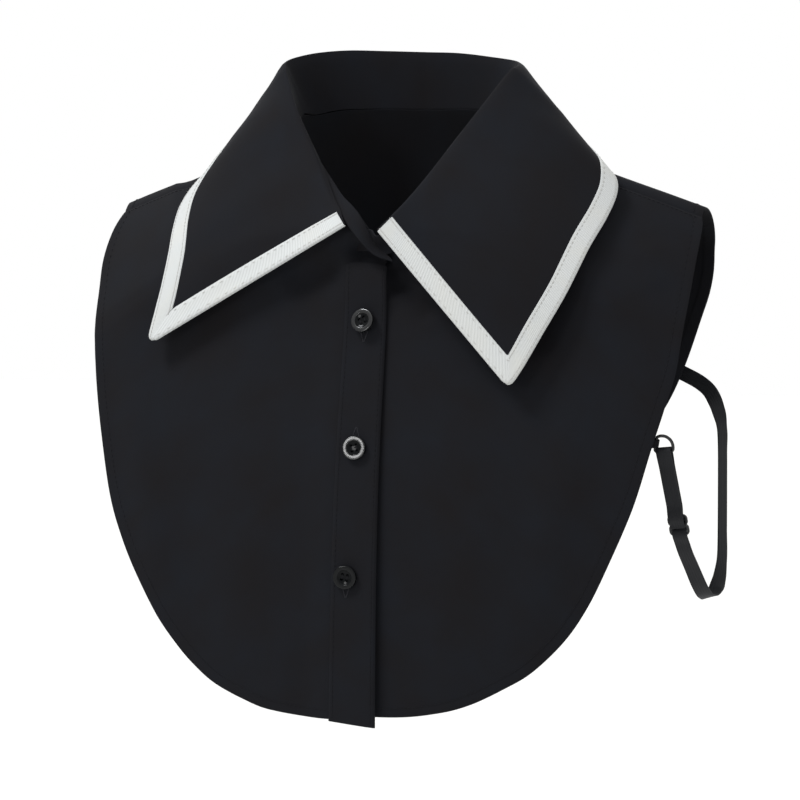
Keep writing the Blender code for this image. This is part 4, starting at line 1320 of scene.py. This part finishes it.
def sew_placket(sizes, colours):
    """Stitches along both sides of the button band, and its three upright buttonholes."""
    over = PLACKET_SECTION[4][1] + (sizes.placket + sizes.thread * THREAD_LIFT) / MM

    def row(across):
        return surface_row(
            lambda share, along, sideways: placket_point(across + sideways, 0.004 + 0.99 * share + along, over)
        )

    thread = material_of(spun_thread, "black_thread", colours.thread)
    rows = sew("placket_stitches", [row(across) for across in PLACKET_ROWS], sizes, thread)
    places = []
    for (across, height), way in zip(BUTTONS, BUTTONHOLE_WAY):

        def slit(share, sideways):
            x = across * MM + sideways
            z = (height + way * (BUTTONHOLE_START + BUTTONHOLE_LENGTH * share)) * MM
            along = along_at_height(abs(x), z)
            return on_body(x, along, placket_lift(x, z, over)), body_normal(x, along)

        places += buttonhole(slit)
    template = stitch_template(*BUTTONHOLE_STITCH)
    satin = material_of(spun_thread, "buttonhole_thread", colours.buttonhole)
    holes = joined_copies("placket_buttonholes", template, places, satin)
    bpy.data.meshes.remove(template)
    for piece in (rows, holes):
        belongs(piece, [])
    return rows, holes


# ------------------------------ neck band, leaf and ribbon


def make_band(sizes, colours):
    """Neck band in one piece; its right end laps over its left one."""
    curves = {side: [knots(points) for points in band_points(side)] for side in SIDES}
    shirting = material_of(black_poplin, colours.shirting)

    def surface(u, v):
        side, share = half_of(u)
        neck = curves[side][0](share)
        rise = curves[side][1](share) - neck
        start = min(BAND_ABOVE_SEAM / rise.length, 0.3)
        end = max(1 - BAND_BELOW_FOLD / rise.length, 0.6)
        return neck + rise * (start + (end - start) * v)

    def metres(u, v):
        return u * BAND_UV[0], v * BAND_UV[1]

    band = cloth("neck_band_cloth", 150, 10, surface, metres, sizes.band, shirting, True, 0.25 * MM)
    belongs(band, ["neck_band"])
    return band


def edge_points(side):
    """Outer edge of the collar on one side, from its point to just before the middle of the back."""
    sign = SIDES[side]
    points = []
    for across, depth, height in EDGE_LEFT if side == "left" else EDGE_RIGHT:
        points.append(Vector((sign * across, depth, height)) * MM)
    for across, depth in EDGE_BACK:
        along = along_at_depth(across * MM, depth * MM)
        points.append(on_body(sign * across * MM, along, EDGE_BACK_LIFT))
    return points


def leaf_surface():
    """Function of (u, v, out): u round the neck from right to left, v from fold to outer edge."""
    fold_halves = {side: route(band_points(side)[1][END_ROWS:]) for side in SIDES}
    edge_halves = {side: route(edge_points(side)) for side in SIDES}
    known = {}

    def straight(u, v):
        side, share = half_of(u)
        fold = fold_halves[side](share)
        edge = edge_halves[side](share)
        return fold.lerp(edge, v)

    def outward(u, v):
        step = 0.004
        low, high = max(u - step, 0.0), min(u + step, 1.0)
        sideways = straight(high, v) - straight(low, v)
        downward = straight(u, 1.0) - straight(u, 0.0)
        return sideways.cross(downward).normalized()

    def inner(u, v):
        key = (round(u, 7), round(v, 7))
        if key in known:
            return known[key]
        _, share = half_of(u)
        roll = FOLD_ROLL * (1 - math.exp(-v / FOLD_ROLL_SHARE)) * (1 - FOLD_ROLL_FADE * v)
        roll *= smooth_step(share / FOLD_ROLL_START)
        bulge = LEAF_BULGE * math.sin(math.pi * v ** LEAF_BULGE_SKEW) * smooth_step(share / LEAF_BULGE_START)
        bulge *= 1 - LEAF_BACK_FLATTER * smooth_step((share - LEAF_BACK_START) / LEAF_BACK_FADE)
        direction = outward(u, v)
        rolled = straight(u, v) + direction * (roll + bulge)
        known[key] = clear_of_body(rolled, direction, LEAF_CLEARANCE)
        return known[key]

    def at(u, v, out=0.0):
        if not out:
            return inner(u, v)
        step_u, step_v = 0.006, 0.03
        sideways = inner(min(u + step_u, 1), v) - inner(max(u - step_u, 0), v)
        downward = inner(u, min(v + step_v, 1)) - inner(u, max(v - step_v, 0))
        return inner(u, v) + sideways.cross(downward).normalized() * out

    return at


def leaf_row(share):
    """Rows crowd towards the fold."""
    return share ** LEAF_ROW_POWER


def rounded_corners(leaf, radius):
    """Function that draws points past a collar point's rounding back onto it; extra widens the rounding."""
    corners = []
    for place_u, step in ((0, 0.03), (1, -0.03)):
        corner = leaf(place_u, 1)
        first = (leaf(place_u, 0.9) - corner).normalized()
        second = (leaf(place_u + step, 1) - corner).normalized()
        half = first.angle(second) / 2
        middle = (first + second).normalized()
        centre = corner + middle * (radius / math.sin(half))
        corners.append((centre, middle, first.cross(second).normalized(), half))

    def at(point, extra=0.0):
        for centre, middle, normal, half in corners:
            offset = point - centre
            flat = offset - normal * offset.dot(normal)
            reach = radius + extra
            if flat.length > reach and flat.length < reach * 8 and flat.angle(-middle) < math.pi / 2 - half:
                return point - flat * (1 - reach / flat.length) * 0.97
        return point

    return at


def lip_depth(share, height):
    """How far the leaf's inner layer turns in over the neck band, from its front end to the back."""
    deeper = (height + LIP_COVER - FOLD_LIP) * smooth_step((share - LIP_BACK_START) / LIP_BACK_FADE)
    return FOLD_LIP * smooth_step(share / LIP_START) + deeper


def make_leaf(leaf, sizes, colours):
    """Collar leaf in one piece round the neck; its inner layer turns in over the neck band."""
    shirting = material_of(black_poplin, colours.shirting)
    necks = {side: route(band_points(side)[0][END_ROWS:]) for side in SIDES}
    corners = rounded_corners(leaf, sizes.tip_radius)

    def surface(u, v):
        if v >= LIP_SHARE:
            return corners(leaf(u, leaf_row((v - LIP_SHARE) / (1 - LIP_SHARE))))
        side, share = half_of(u)
        fold = leaf(u, 0.0)
        down = necks[side](share) - fold
        depth = lip_depth(share, down.length)
        return fold + down.normalized() * depth * (1 - v / LIP_SHARE)

    def metres(u, v):
        return u * LEAF_UV[0], v * LEAF_UV[1]

    piece = cloth("collar_leaf_cloth", 200, 60, surface, metres, sizes.leaf, shirting)
    belongs(piece, ["collar_leaf"])
    return piece


def trim_inset(leaf, u, v, width):
    """Steps in u and v that move a border point of the leaf in by a width."""
    on_edge = 0 < u < 1
    step = TRIM_STEP_ALONG if on_edge else TRIM_STEP_END
    low, high = max(u - step, 0), min(u + step, 1)
    across = (leaf(high, v) - leaf(low, v)) / (high - low)
    step = TRIM_STEP_DOWN if on_edge else TRIM_STEP_END
    low, high = max(v - step, 0), min(v + step, 1)
    down = (leaf(u, high) - leaf(u, low)) / (high - low)
    across_part = across - down * (across.dot(down) / down.length_squared)
    down_part = down - across * (across.dot(down) / across.length_squared)
    return width / across_part.length, width / down_part.length


def ribbon_run(leaf, width):
    """Function of (station, inset share, out) on the ribbon, from one front round the edge to the other."""
    corner_right = trim_inset(leaf, 0, 1, width)
    corner_left = trim_inset(leaf, 1, 1, width)

    def places(station):
        if station <= FRONT_STATION:
            share = leaf_row(station / FRONT_STATION)
            inset = trim_inset(leaf, 0, share, width)[0]
            return (0, share), (inset, share * (1 - corner_right[1]))
        if station >= 1 - FRONT_STATION:
            share = leaf_row((1 - station) / FRONT_STATION)
            inset = trim_inset(leaf, 1, share, width)[0]
            return (1, share), (1 - inset, share * (1 - corner_left[1]))
        share = (station - FRONT_STATION) / (1 - 2 * FRONT_STATION)
        inner_u = share + corner_right[0] * max(0.0, 1 - share / CORNER_REACH) ** 2
        inner_u -= corner_left[0] * max(0.0, 1 - (1 - share) / CORNER_REACH) ** 2
        wide = 1 + RIBBON_WIDER * smooth_step((RIBBON_WIDER_END - share) / RIBBON_WIDER_FADE)
        wide -= RIBBON_NARROWER * smooth_step((share - RIBBON_NARROWER_START) / RIBBON_NARROWER_FADE)
        inset = trim_inset(leaf, share, 1, width * wide)[1]
        return (share, 1), (inner_u, 1 - inset)

    def at(station, inset, out):
        outer, inner = places(station)
        beyond = min(inset, 0.0)
        share = max(inset, 0.0)
        place_u = outer[0] + (inner[0] - outer[0]) * share
        place_v = outer[1] + (inner[1] - outer[1]) * share
        point = leaf(place_u, place_v, out)
        if beyond:
            within_u = outer[0] + (inner[0] - outer[0]) * RIBBON_EDGE_STEP
            within_v = outer[1] + (inner[1] - outer[1]) * RIBBON_EDGE_STEP
            point += (point - leaf(within_u, within_v, out)) * (-beyond / RIBBON_EDGE_STEP)
        return point

    return at


def make_trim(leaf, sizes, colours):
    """Ribbon up both front edges and along the outer edge, with its two rows of stitches."""
    run = ribbon_run(leaf, sizes.ribbon_width)
    ribbon = material_of(ribbed_ribbon, colours.ribbon)
    top = sizes.leaf + 0.1 * MM
    over = -sizes.ribbon_over / sizes.ribbon_width
    corners = rounded_corners(leaf, sizes.tip_radius)
    section = (
        (1.0, top - 0.25 * MM), (0.985, top), (0.8, top), (0.6, top), (0.4, top), (0.2, top), (0.02, top),
        (over * 0.7, top - 0.3 * MM), (over, top - 0.8 * MM), (over * 0.7, 0.1 * MM),
    )

    def surface(u, v):
        inset, out = between_rows(section, v)
        return corners(run(u, inset, out), max(-inset, 0.0) * sizes.ribbon_width)

    def metres(u, v):
        return u * RIBBON_UV_LENGTH, v * sizes.ribbon_width

    piece = cloth("collar_trim_ribbon", 420, len(section) - 1, surface, metres, sizes.ribbon, ribbon)
    belongs(piece, ["collar_trim"])

    def row(inset):
        return surface_row(
            lambda share, along, across: corners(
                run(
                    0.004 + 0.992 * share + along, inset + across / sizes.ribbon_width,
                    top + sizes.ribbon + sizes.thread * THREAD_LIFT,
                )
            )
        )

    thread = material_of(spun_thread, "pale_thread", colours.ribbon_thread)
    sewing = sew("collar_trim_stitches", [row(inset) for inset in RIBBON_ROWS], sizes, thread)
    belongs(sewing, [])
    return piece, sewing


# ------------------------------ buttons


def inset_faces(mesh, chosen, insets):
    """Insets the chosen faces of the active piece, once for each (width, height) in millimetres."""
    bpy.context.tool_settings.mesh_select_mode = (False, False, True)
    mesh.vertices.foreach_set("select", [False] * len(mesh.vertices))
    mesh.edges.foreach_set("select", [False] * len(mesh.edges))
    for face in mesh.polygons:
        face.select = chosen(face)
    bpy.ops.object.mode_set(mode="EDIT")
    for width, height in insets:
        bpy.ops.mesh.inset(thickness=width * MM, depth=height * MM)
    bpy.ops.object.mode_set(mode="OBJECT")


def cut_away(piece, cutter, operation="DIFFERENCE"):
    """Cuts a cutter out of a piece, or adds it with UNION, and drops the cutter."""
    bpy.context.view_layer.objects.active = piece
    apply_modifier(piece, "BOOLEAN", object=cutter, operation=operation, solver="EXACT")
    bpy.data.objects.remove(cutter)


def make_button(number, across, height, sizes, colours):
    """Four-hole button with a raised rim, a dished middle and two bars of thread."""
    deselect()
    thick = BUTTON_THICKNESS
    bpy.ops.mesh.primitive_cylinder_add(vertices=64, radius=sizes.button, depth=thick, location=(0, 0, 0))
    piece = bpy.context.object
    piece.name = "button_%d_resin" % number
    mesh = piece.data
    mesh.transform(Matrix.Translation((0, 0, thick / 2)))
    inset_faces(mesh, lambda face: face.normal.z > 0.9, BUTTON_FACE)
    inset_faces(mesh, lambda face: face.normal.z < -0.9, BUTTON_BACK)
    soften = {"limit_method": "ANGLE", "angle_limit": math.radians(20)}
    apply_modifier(piece, "BEVEL", width=0.32 * MM, segments=3, **soften)
    for x_sign, y_sign in ((-1, -1), (-1, 1), (1, -1), (1, 1)):
        deselect()
        bpy.ops.mesh.primitive_cylinder_add(vertices=20, radius=BUTTON_HOLE_RADIUS, depth=thick * 3)
        cutter = bpy.context.object
        spot = Vector((x_sign, y_sign, 0)) * BUTTON_HOLE_SPACING / 2
        cutter.data.transform(Matrix.Translation(spot))
        cut_away(piece, cutter)
    make_active(piece)
    bpy.ops.object.shade_smooth_by_angle(angle=math.radians(35))
    rim = mesh.attributes.new("rim", "FLOAT", "POINT")
    turn, tilt, toward, satin = BUTTON_TURN[number - 1]
    for vertex, value in zip(mesh.vertices, rim.data):
        past_dish = math.hypot(vertex.co.x, vertex.co.y) - BUTTON_DISH
        value.value = satin * smooth_step(past_dish / (0.2 * MM))
    along = along_at_height(abs(across) * MM, height * MM)
    normal = body_normal(across * MM, along)
    seat = BUTTON_LIFT + lap_opening(across * MM, height * MM)
    seat += math.sin(math.radians(tilt)) * sizes.button * 0.8
    facing = normal.to_track_quat("Z", "Y").to_matrix().to_4x4()
    place = Matrix.Translation(on_body(across * MM, along, seat)) @ facing
    place = place @ Matrix.Rotation(math.radians(tilt), 4, Vector((math.cos(toward), math.sin(toward), 0)))
    place = place @ Matrix.Rotation(math.radians(turn), 4, "Z")
    mesh.transform(place)
    mesh.materials.append(material_of(polished_resin, colours.button))
    belongs(piece, ["button_%d" % number])
    template = stitch_template(*BUTTON_STITCH)
    bars = []
    for sign in (-1, 1):
        for shift in (-0.2, 0.25):
            high = thick * 0.54 + abs(shift) * 0.2 * MM
            spot = Vector((sign * BUTTON_HOLE_SPACING / 2 + shift * MM, 0, high))
            bars.append(place @ Matrix.Translation(spot) @ Matrix.Rotation(math.pi / 2, 4, "Z"))
    thread = joined_copies(
        "button_%d_thread" % number, template, bars, material_of(spun_thread, "black_thread", colours.thread)
    )
    bpy.data.meshes.remove(template)
    belongs(thread, [])


# ------------------------------ elastic loops


def strap_offsets(side, sizes):
    """Stations of the elastic, each a distance and an offset to its face: back, slider, ring, slider bar."""
    line = strap_line(side)
    turn_radius = RING_WIRE_RADIUS + SEAM_GAP * 1.3 + sizes.elastic / 2
    weave = SLIDER_THICKNESS / 2 + SEAM_GAP + sizes.elastic / 2 + WEAVE_SLACK
    bar = SLIDER_HALF_LENGTH - SLIDER_BAR / 2

    def spread(distance):
        near_ring = smooth_step((RING_NEAR - distance) / RING_FADE)
        return LAYER_SPREAD + (turn_radius - LAYER_SPREAD) * near_ring

    def main_offset(distance):
        from_slider = distance - SLIDER_STATION
        if abs(from_slider) <= bar:
            return weave * math.cos(math.pi * from_slider / bar)
        if from_slider > 0:
            return -weave * (1 - smooth_step((from_slider - bar) / SLIDER_FADE))
        rest = smooth_step((-from_slider - bar) / SLIDER_BACK_FADE)
        return -weave + (spread(distance) + weave) * rest

    def end_offset(distance):
        from_slider = SLIDER_STATION - distance
        deep = -weave - sizes.elastic - SEAM_GAP
        if from_slider <= bar:
            return -weave + (deep + weave) * smooth_step(from_slider / bar)
        rest = smooth_step((from_slider - bar) / SLIDER_FADE)
        return deep + (-spread(distance) - deep) * rest

    stations = []
    distance = line.length
    while distance > 1 * MM:
        stations.append((distance, main_offset(distance)))
        distance -= 1 * MM
    for step in range(TURN_STEPS + 1):
        angle = math.pi * step / TURN_STEPS
        stations.append((-turn_radius * math.sin(angle), turn_radius * math.cos(angle)))
    distance = 2 * MM
    while distance < SLIDER_STATION + SLIDER_BAR:
        stations.append((distance, end_offset(distance)))
        distance += 1 * MM
    return line, stations


def make_strap(side, sizes, colours):
    """Elastic from the back through the slider, round the ring and back to the slider's bar."""
    line, stations = strap_offsets(side, sizes)
    count = len(stations) - 1

    def surface(u, v):
        distance, offset = stations[round(u * count)]
        middle, _, width, face = line(distance)
        return middle + face * (offset - sizes.elastic / 2) + width * STRAP_WIDTH * (v - 0.5)

    def metres(u, v):
        return u * count * MM, (v - 0.5) * STRAP_WIDTH

    elastic = material_of(woven_elastic, colours.elastic)
    name = "strap_%s_elastic" % side
    piece = cloth(name, count, 6, surface, metres, sizes.elastic, elastic, False, 0.15 * MM)
    belongs(piece, ["strap_" + side])
    return piece


def make_ring(side, colours):
    """D ring of coated wire: a straight bar for the elastic and a straight side for the tab."""
    middle, tangent, width, _ = strap_line(side)(0.0)
    facing = math.copysign(1.0, STRAP_SWING[side])
    knots_of_ring = [middle + width * across * facing * MM - tangent * rise * MM for across, rise in RING_SHAPE]
    line = route(knots_of_ring + knots_of_ring[:1], 6)
    out = width.cross(tangent).normalized()
    deselect()
    bpy.ops.mesh.primitive_torus_add(major_segments=96, minor_segments=14, major_radius=10, minor_radius=1)
    piece = bpy.context.object
    piece.name = "ring_%s_wire" % side
    for vertex in piece.data.vertices:
        turn = math.atan2(vertex.co.y, vertex.co.x) / (2 * math.pi) % 1.0
        inward = math.hypot(vertex.co.x, vertex.co.y) - 10
        ahead = (line((turn + 0.006) % 1.0) - line((turn - 0.006) % 1.0)).normalized()
        sideways = ahead.cross(out).normalized()
        vertex.co = line(turn) + sideways * inward * RING_WIRE_RADIUS + out * vertex.co.z * RING_WIRE_RADIUS
    bpy.ops.object.mode_set(mode="EDIT")
    bpy.ops.mesh.select_all(action="SELECT")
    bpy.ops.mesh.normals_make_consistent(inside=False)
    bpy.ops.object.mode_set(mode="OBJECT")
    bpy.ops.object.shade_smooth()
    piece.data.materials.append(material_of(coated_wire, colours.wire))
    belongs(piece, ["ring_" + side])


def rounded_plate(name, half_width, half_length, thick, corner, centre=0.0):
    """Flat plate with its four upright edges rounded."""
    deselect()
    bpy.ops.mesh.primitive_cube_add(size=2)
    piece = bpy.context.object
    piece.name = name
    shape = Matrix.Diagonal((half_width, half_length, thick / 2, 1))
    piece.data.transform(Matrix.Translation((0, centre, 0)) @ shape)
    bpy.context.tool_settings.mesh_select_mode = (False, True, False)
    mesh = piece.data
    mesh.polygons.foreach_set("select", [False] * len(mesh.polygons))
    for edge in mesh.edges:
        first, second = (mesh.vertices[index].co for index in edge.vertices)
        edge.select = abs(first.z - second.z) > thick / 2
    for vertex in mesh.vertices:
        vertex.select = True
    bpy.ops.object.mode_set(mode="EDIT")
    bpy.ops.mesh.bevel(offset=corner, segments=5)
    bpy.ops.object.mode_set(mode="OBJECT")
    return piece


def make_slider(side, colours):
    """Figure-8 adjuster: a flat moulded frame with a middle bar."""
    middle, tangent, width, _ = strap_line(side)(SLIDER_STATION)
    lobe_middle = SLIDER_HALF_LENGTH - SLIDER_LOBE
    shape = (SLIDER_HALF_WIDTH, SLIDER_LOBE, SLIDER_THICKNESS, 2.5 * MM)
    piece = rounded_plate("slider_%s_nylon" % side, *shape, lobe_middle)
    cut_away(piece, rounded_plate("lobe", *shape, -lobe_middle), "UNION")
    window_half_width = STRAP_WIDTH / 2 + SEAM_GAP / 2
    window_half_length = (SLIDER_HALF_LENGTH - SLIDER_BAR * 1.5) / 2
    window_middle = SLIDER_BAR / 2 + window_half_length
    for sign in (-1, 1):
        window = (window_half_width, window_half_length, SLIDER_THICKNESS * 3, 0.8 * MM, sign * window_middle)
        cut_away(piece, rounded_plate("window", *window))
    make_active(piece)
    soften = {"limit_method": "ANGLE", "angle_limit": math.radians(40)}
    apply_modifier(piece, "BEVEL", width=0.3 * MM, segments=3, **soften)
    bpy.ops.object.shade_smooth_by_angle(angle=math.radians(35))
    turn = Matrix((width, -tangent, width.cross(-tangent))).transposed().to_4x4()
    piece.data.transform(Matrix.Translation(middle) @ turn)
    piece.data.materials.append(material_of(moulded_nylon, colours.nylon))
    belongs(piece, ["slider_" + side])


def make_tab(side, sizes, colours):
    """Short cloth tab, folded round the ring's side and caught under the front's edge."""
    sign = SIDES[side]
    middle, tangent, across, _ = strap_line(side)(0.0)
    facing = math.copysign(1.0, STRAP_SWING[side])
    ends = [middle + across * x * facing * MM - tangent * z * MM for x, z in RING_SIDE]
    bow = (ends[0] + ends[1]) / 2
    turn_radius = RING_WIRE_RADIUS + SEAM_GAP
    root_along = along_at_height(TAB_ROOT_ACROSS, TAB_ROOT_HEIGHT)
    root = on_body(sign * TAB_ROOT_ACROSS, root_along, -TAB_ROOT_DEPTH[side])
    width = (ends[0] - ends[1]).normalized()
    toward = (root - bow) - width * width.dot(root - bow)
    length = toward.length
    toward.normalize()
    face = toward.cross(width) * -sign
    stations = []
    for step in range(TURN_STEPS + 1):
        distance = length * (1 - step / TURN_STEPS)
        flat = smooth_step(distance / TAB_TAPER)
        stations.append((distance, turn_radius + (TAB_FLAT - turn_radius) * flat))
    for step in range(1, TURN_STEPS):
        angle = math.pi * step / TURN_STEPS
        stations.append((-turn_radius * math.sin(angle), turn_radius * math.cos(angle)))
    for step in range(TURN_STEPS + 1):
        distance = length * step / TURN_STEPS
        flat = smooth_step(distance / TAB_TAPER)
        stations.append((distance, (turn_radius - TAB_FLAT) * flat - turn_radius))
    count = len(stations) - 1

    def surface(u, v):
        distance, offset = stations[round(u * count)]
        spread = TAB_WIDTH + (TAB_ROOT_WIDTH - TAB_WIDTH) * smooth_step(distance / TAB_TAPER)
        return bow + toward * distance + face * offset + width * spread * (v - 0.5)

    def metres(u, v):
        return u * count * MM, v * TAB_WIDTH

    shirting = material_of(black_poplin, colours.shirting)
    piece = cloth(
        "tab_%s_cloth" % side, count, 5, surface, metres, sizes.cloth, shirting, side == "right", 0.1 * MM
    )
    belongs(piece, ["tab_" + side])
    return piece


# ------------------------------ stage


def area_light(name, place, target, size, power, colour):
    """Soft square light that faces a target."""
    light = bpy.data.lights.new(name, "AREA")
    light.shape = "SQUARE"
    light.size = size
    light.energy = power
    light.color = colour
    lamp = bpy.data.objects.new(name, light)
    lamp.location = place
    lamp.rotation_euler = (Vector(target) - Vector(place)).to_track_quat("-Z", "Y").to_euler()
    bpy.context.scene.collection.objects.link(lamp)
    return lamp


def make_stage(colours):
    """Pale floor, white surroundings, soft lights and the camera."""
    scene = bpy.context.scene
    scene.view_settings.view_transform = "Standard"
    scene.view_settings.look = "None"
    deselect()
    bpy.ops.mesh.primitive_plane_add(size=30, location=(0, 0, 0))
    floor = bpy.context.object
    floor.name = "studio_floor"
    floor.data.transform(Matrix.Translation((0, 0, FLOOR_HEIGHT)))
    floor.data.materials.append(material_of(painted_floor, colours.floor))
    world = bpy.data.worlds.new("white_studio")
    world.use_nodes = True
    tree = world.node_tree
    background = tree.nodes["Background"]
    background.inputs["Strength"].default_value = 1.0
    towards = add_node(tree, "ShaderNodeTexCoord", {}).outputs["Generated"]
    apart = add_node(tree, "ShaderNodeSeparateXYZ", {"Vector": towards})
    behind = add_node(
        tree, "ShaderNodeMath", {0: apart.outputs["Z"], 1: 1.4, 2: apart.outputs["Y"]}, operation="MULTIPLY_ADD"
    )
    share = add_node(
        tree, "ShaderNodeMapRange", {"Value": behind.outputs[0], "From Min": -0.5, "From Max": 0.6}
    )
    room = add_node(
        tree, "ShaderNodeMix", {0: share.outputs["Result"], 6: (*ROOM, 1.0), 7: (1, 1, 1, 1)}, data_type="RGBA"
    )
    tree.links.new(room.outputs[2], background.inputs["Color"])
    scene.world = world
    lights = [area_light(*row) for row in LIGHTS]
    sun = bpy.data.lights.new("ceiling_bounce", "SUN")
    sun.angle = math.radians(120)
    sun.energy = 0.7
    lamp = bpy.data.objects.new("ceiling_bounce", sun)
    scene.collection.objects.link(lamp)
    view = bpy.data.cameras.new("camera")
    view.sensor_width = 36
    view.lens = CAMERA_LENS
    view.clip_start = 0.1
    view.clip_end = 100
    camera = bpy.data.objects.new("camera", view)
    turn, rise = math.radians(CAMERA_AZIMUTH), math.radians(CAMERA_ELEVATION)
    back = Vector((math.sin(turn) * math.cos(rise), -math.cos(turn) * math.cos(rise), math.sin(rise)))
    camera.location = Vector(CAMERA_TARGET) + back * CAMERA_DISTANCE
    camera.rotation_euler = back.to_track_quat("Z", "Y").to_euler()
    scene.collection.objects.link(camera)
    scene.camera = camera


# ------------------------------ operators and panel


class COLLAR_OT_fronts(bpy.types.Operator):
    """Both fronts with their hems and stitches"""

    bl_idname = "collar.fronts"
    bl_label = "Fronts"

    def execute(self, context):
        sizes, colours = context.scene.collar_sizes, context.scene.collar_colours
        for side in SIDES:
            panel, hem, sewing = make_front(side, sizes, colours)
        return {"FINISHED"}


class COLLAR_OT_back(bpy.types.Operator):
    """Back panel with its hem and stitches"""

    bl_idname = "collar.back"
    bl_label = "Back"

    def execute(self, context):
        panel, hem, sewing = make_back(context.scene.collar_sizes, context.scene.collar_colours)
        return {"FINISHED"}


class COLLAR_OT_placket(bpy.types.Operator):
    """Button band with its stitches and buttonholes"""

    bl_idname = "collar.placket"
    bl_label = "Button band"

    def execute(self, context):
        sizes, colours = context.scene.collar_sizes, context.scene.collar_colours
        band = make_placket(sizes, colours)
        rows, holes = sew_placket(sizes, colours)
        return {"FINISHED"}


class COLLAR_OT_neck_band(bpy.types.Operator):
    """Neck band"""

    bl_idname = "collar.neck_band"
    bl_label = "Neck band"

    def execute(self, context):
        band = make_band(context.scene.collar_sizes, context.scene.collar_colours)
        return {"FINISHED"}


class COLLAR_OT_leaf(bpy.types.Operator):
    """Fold-down leaf and the ribbon along its edges"""

    bl_idname = "collar.leaf"
    bl_label = "Leaf and ribbon"

    def execute(self, context):
        sizes, colours = context.scene.collar_sizes, context.scene.collar_colours
        leaf = leaf_surface()
        piece = make_leaf(leaf, sizes, colours)
        ribbon, sewing = make_trim(leaf, sizes, colours)
        return {"FINISHED"}


class COLLAR_OT_buttons(bpy.types.Operator):
    """Three four-hole buttons, sewn on"""

    bl_idname = "collar.buttons"
    bl_label = "Buttons"

    def execute(self, context):
        sizes, colours = context.scene.collar_sizes, context.scene.collar_colours
        for number, (across, height) in enumerate(BUTTONS, 1):
            make_button(number, across, height, sizes, colours)
        return {"FINISHED"}


class COLLAR_OT_loops(bpy.types.Operator):
    """Elastic loop, ring, slider and tab at each side"""

    bl_idname = "collar.loops"
    bl_label = "Elastic loops"

    def execute(self, context):
        sizes, colours = context.scene.collar_sizes, context.scene.collar_colours
        for side in SIDES:
            make_strap(side, sizes, colours)
            make_ring(side, colours)
            make_slider(side, colours)
            make_tab(side, sizes, colours)
        return {"FINISHED"}


class COLLAR_OT_stage(bpy.types.Operator):
    """Floor, surroundings, lights and camera"""

    bl_idname = "collar.stage"
    bl_label = "Stage"

    def execute(self, context):
        make_stage(context.scene.collar_colours)
        return {"FINISHED"}


OPERATORS = (
    COLLAR_OT_fronts, COLLAR_OT_back, COLLAR_OT_placket, COLLAR_OT_neck_band, COLLAR_OT_leaf, COLLAR_OT_buttons,
    COLLAR_OT_loops, COLLAR_OT_stage,
)


class COLLAR_PT_panel(bpy.types.Panel):
    """Sizes, colours and one button for each piece"""

    bl_idname = "COLLAR_PT_panel"
    bl_label = "Detachable Shirt Collar"
    bl_space_type = "VIEW_3D"
    bl_region_type = "UI"
    bl_category = "Collar"

    def draw(self, context):
        for group in (context.scene.collar_sizes, context.scene.collar_colours):
            box = self.layout.box()
            for name in group.__annotations__:
                box.prop(group, name)
        for kind in OPERATORS:
            self.layout.operator(kind.bl_idname)


CLASSES = (CollarSizes, CollarColours) + OPERATORS + (COLLAR_PT_panel,)


def register():
    for kind in CLASSES:
        bpy.utils.register_class(kind)
    bpy.types.Scene.collar_sizes = bpy.props.PointerProperty(type=CollarSizes)
    bpy.types.Scene.collar_colours = bpy.props.PointerProperty(type=CollarColours)


def unregister():
    del bpy.types.Scene.collar_colours
    del bpy.types.Scene.collar_sizes
    for kind in reversed(CLASSES):
        bpy.utils.unregister_class(kind)


def main():
    register()
    bpy.ops.collar.loops()
    bpy.ops.collar.fronts()
    bpy.ops.collar.back()
    bpy.ops.collar.placket()
    bpy.ops.collar.neck_band()
    bpy.ops.collar.leaf()
    bpy.ops.collar.buttons()
    bpy.ops.collar.stage()


if __name__ == "__main__":
    main()
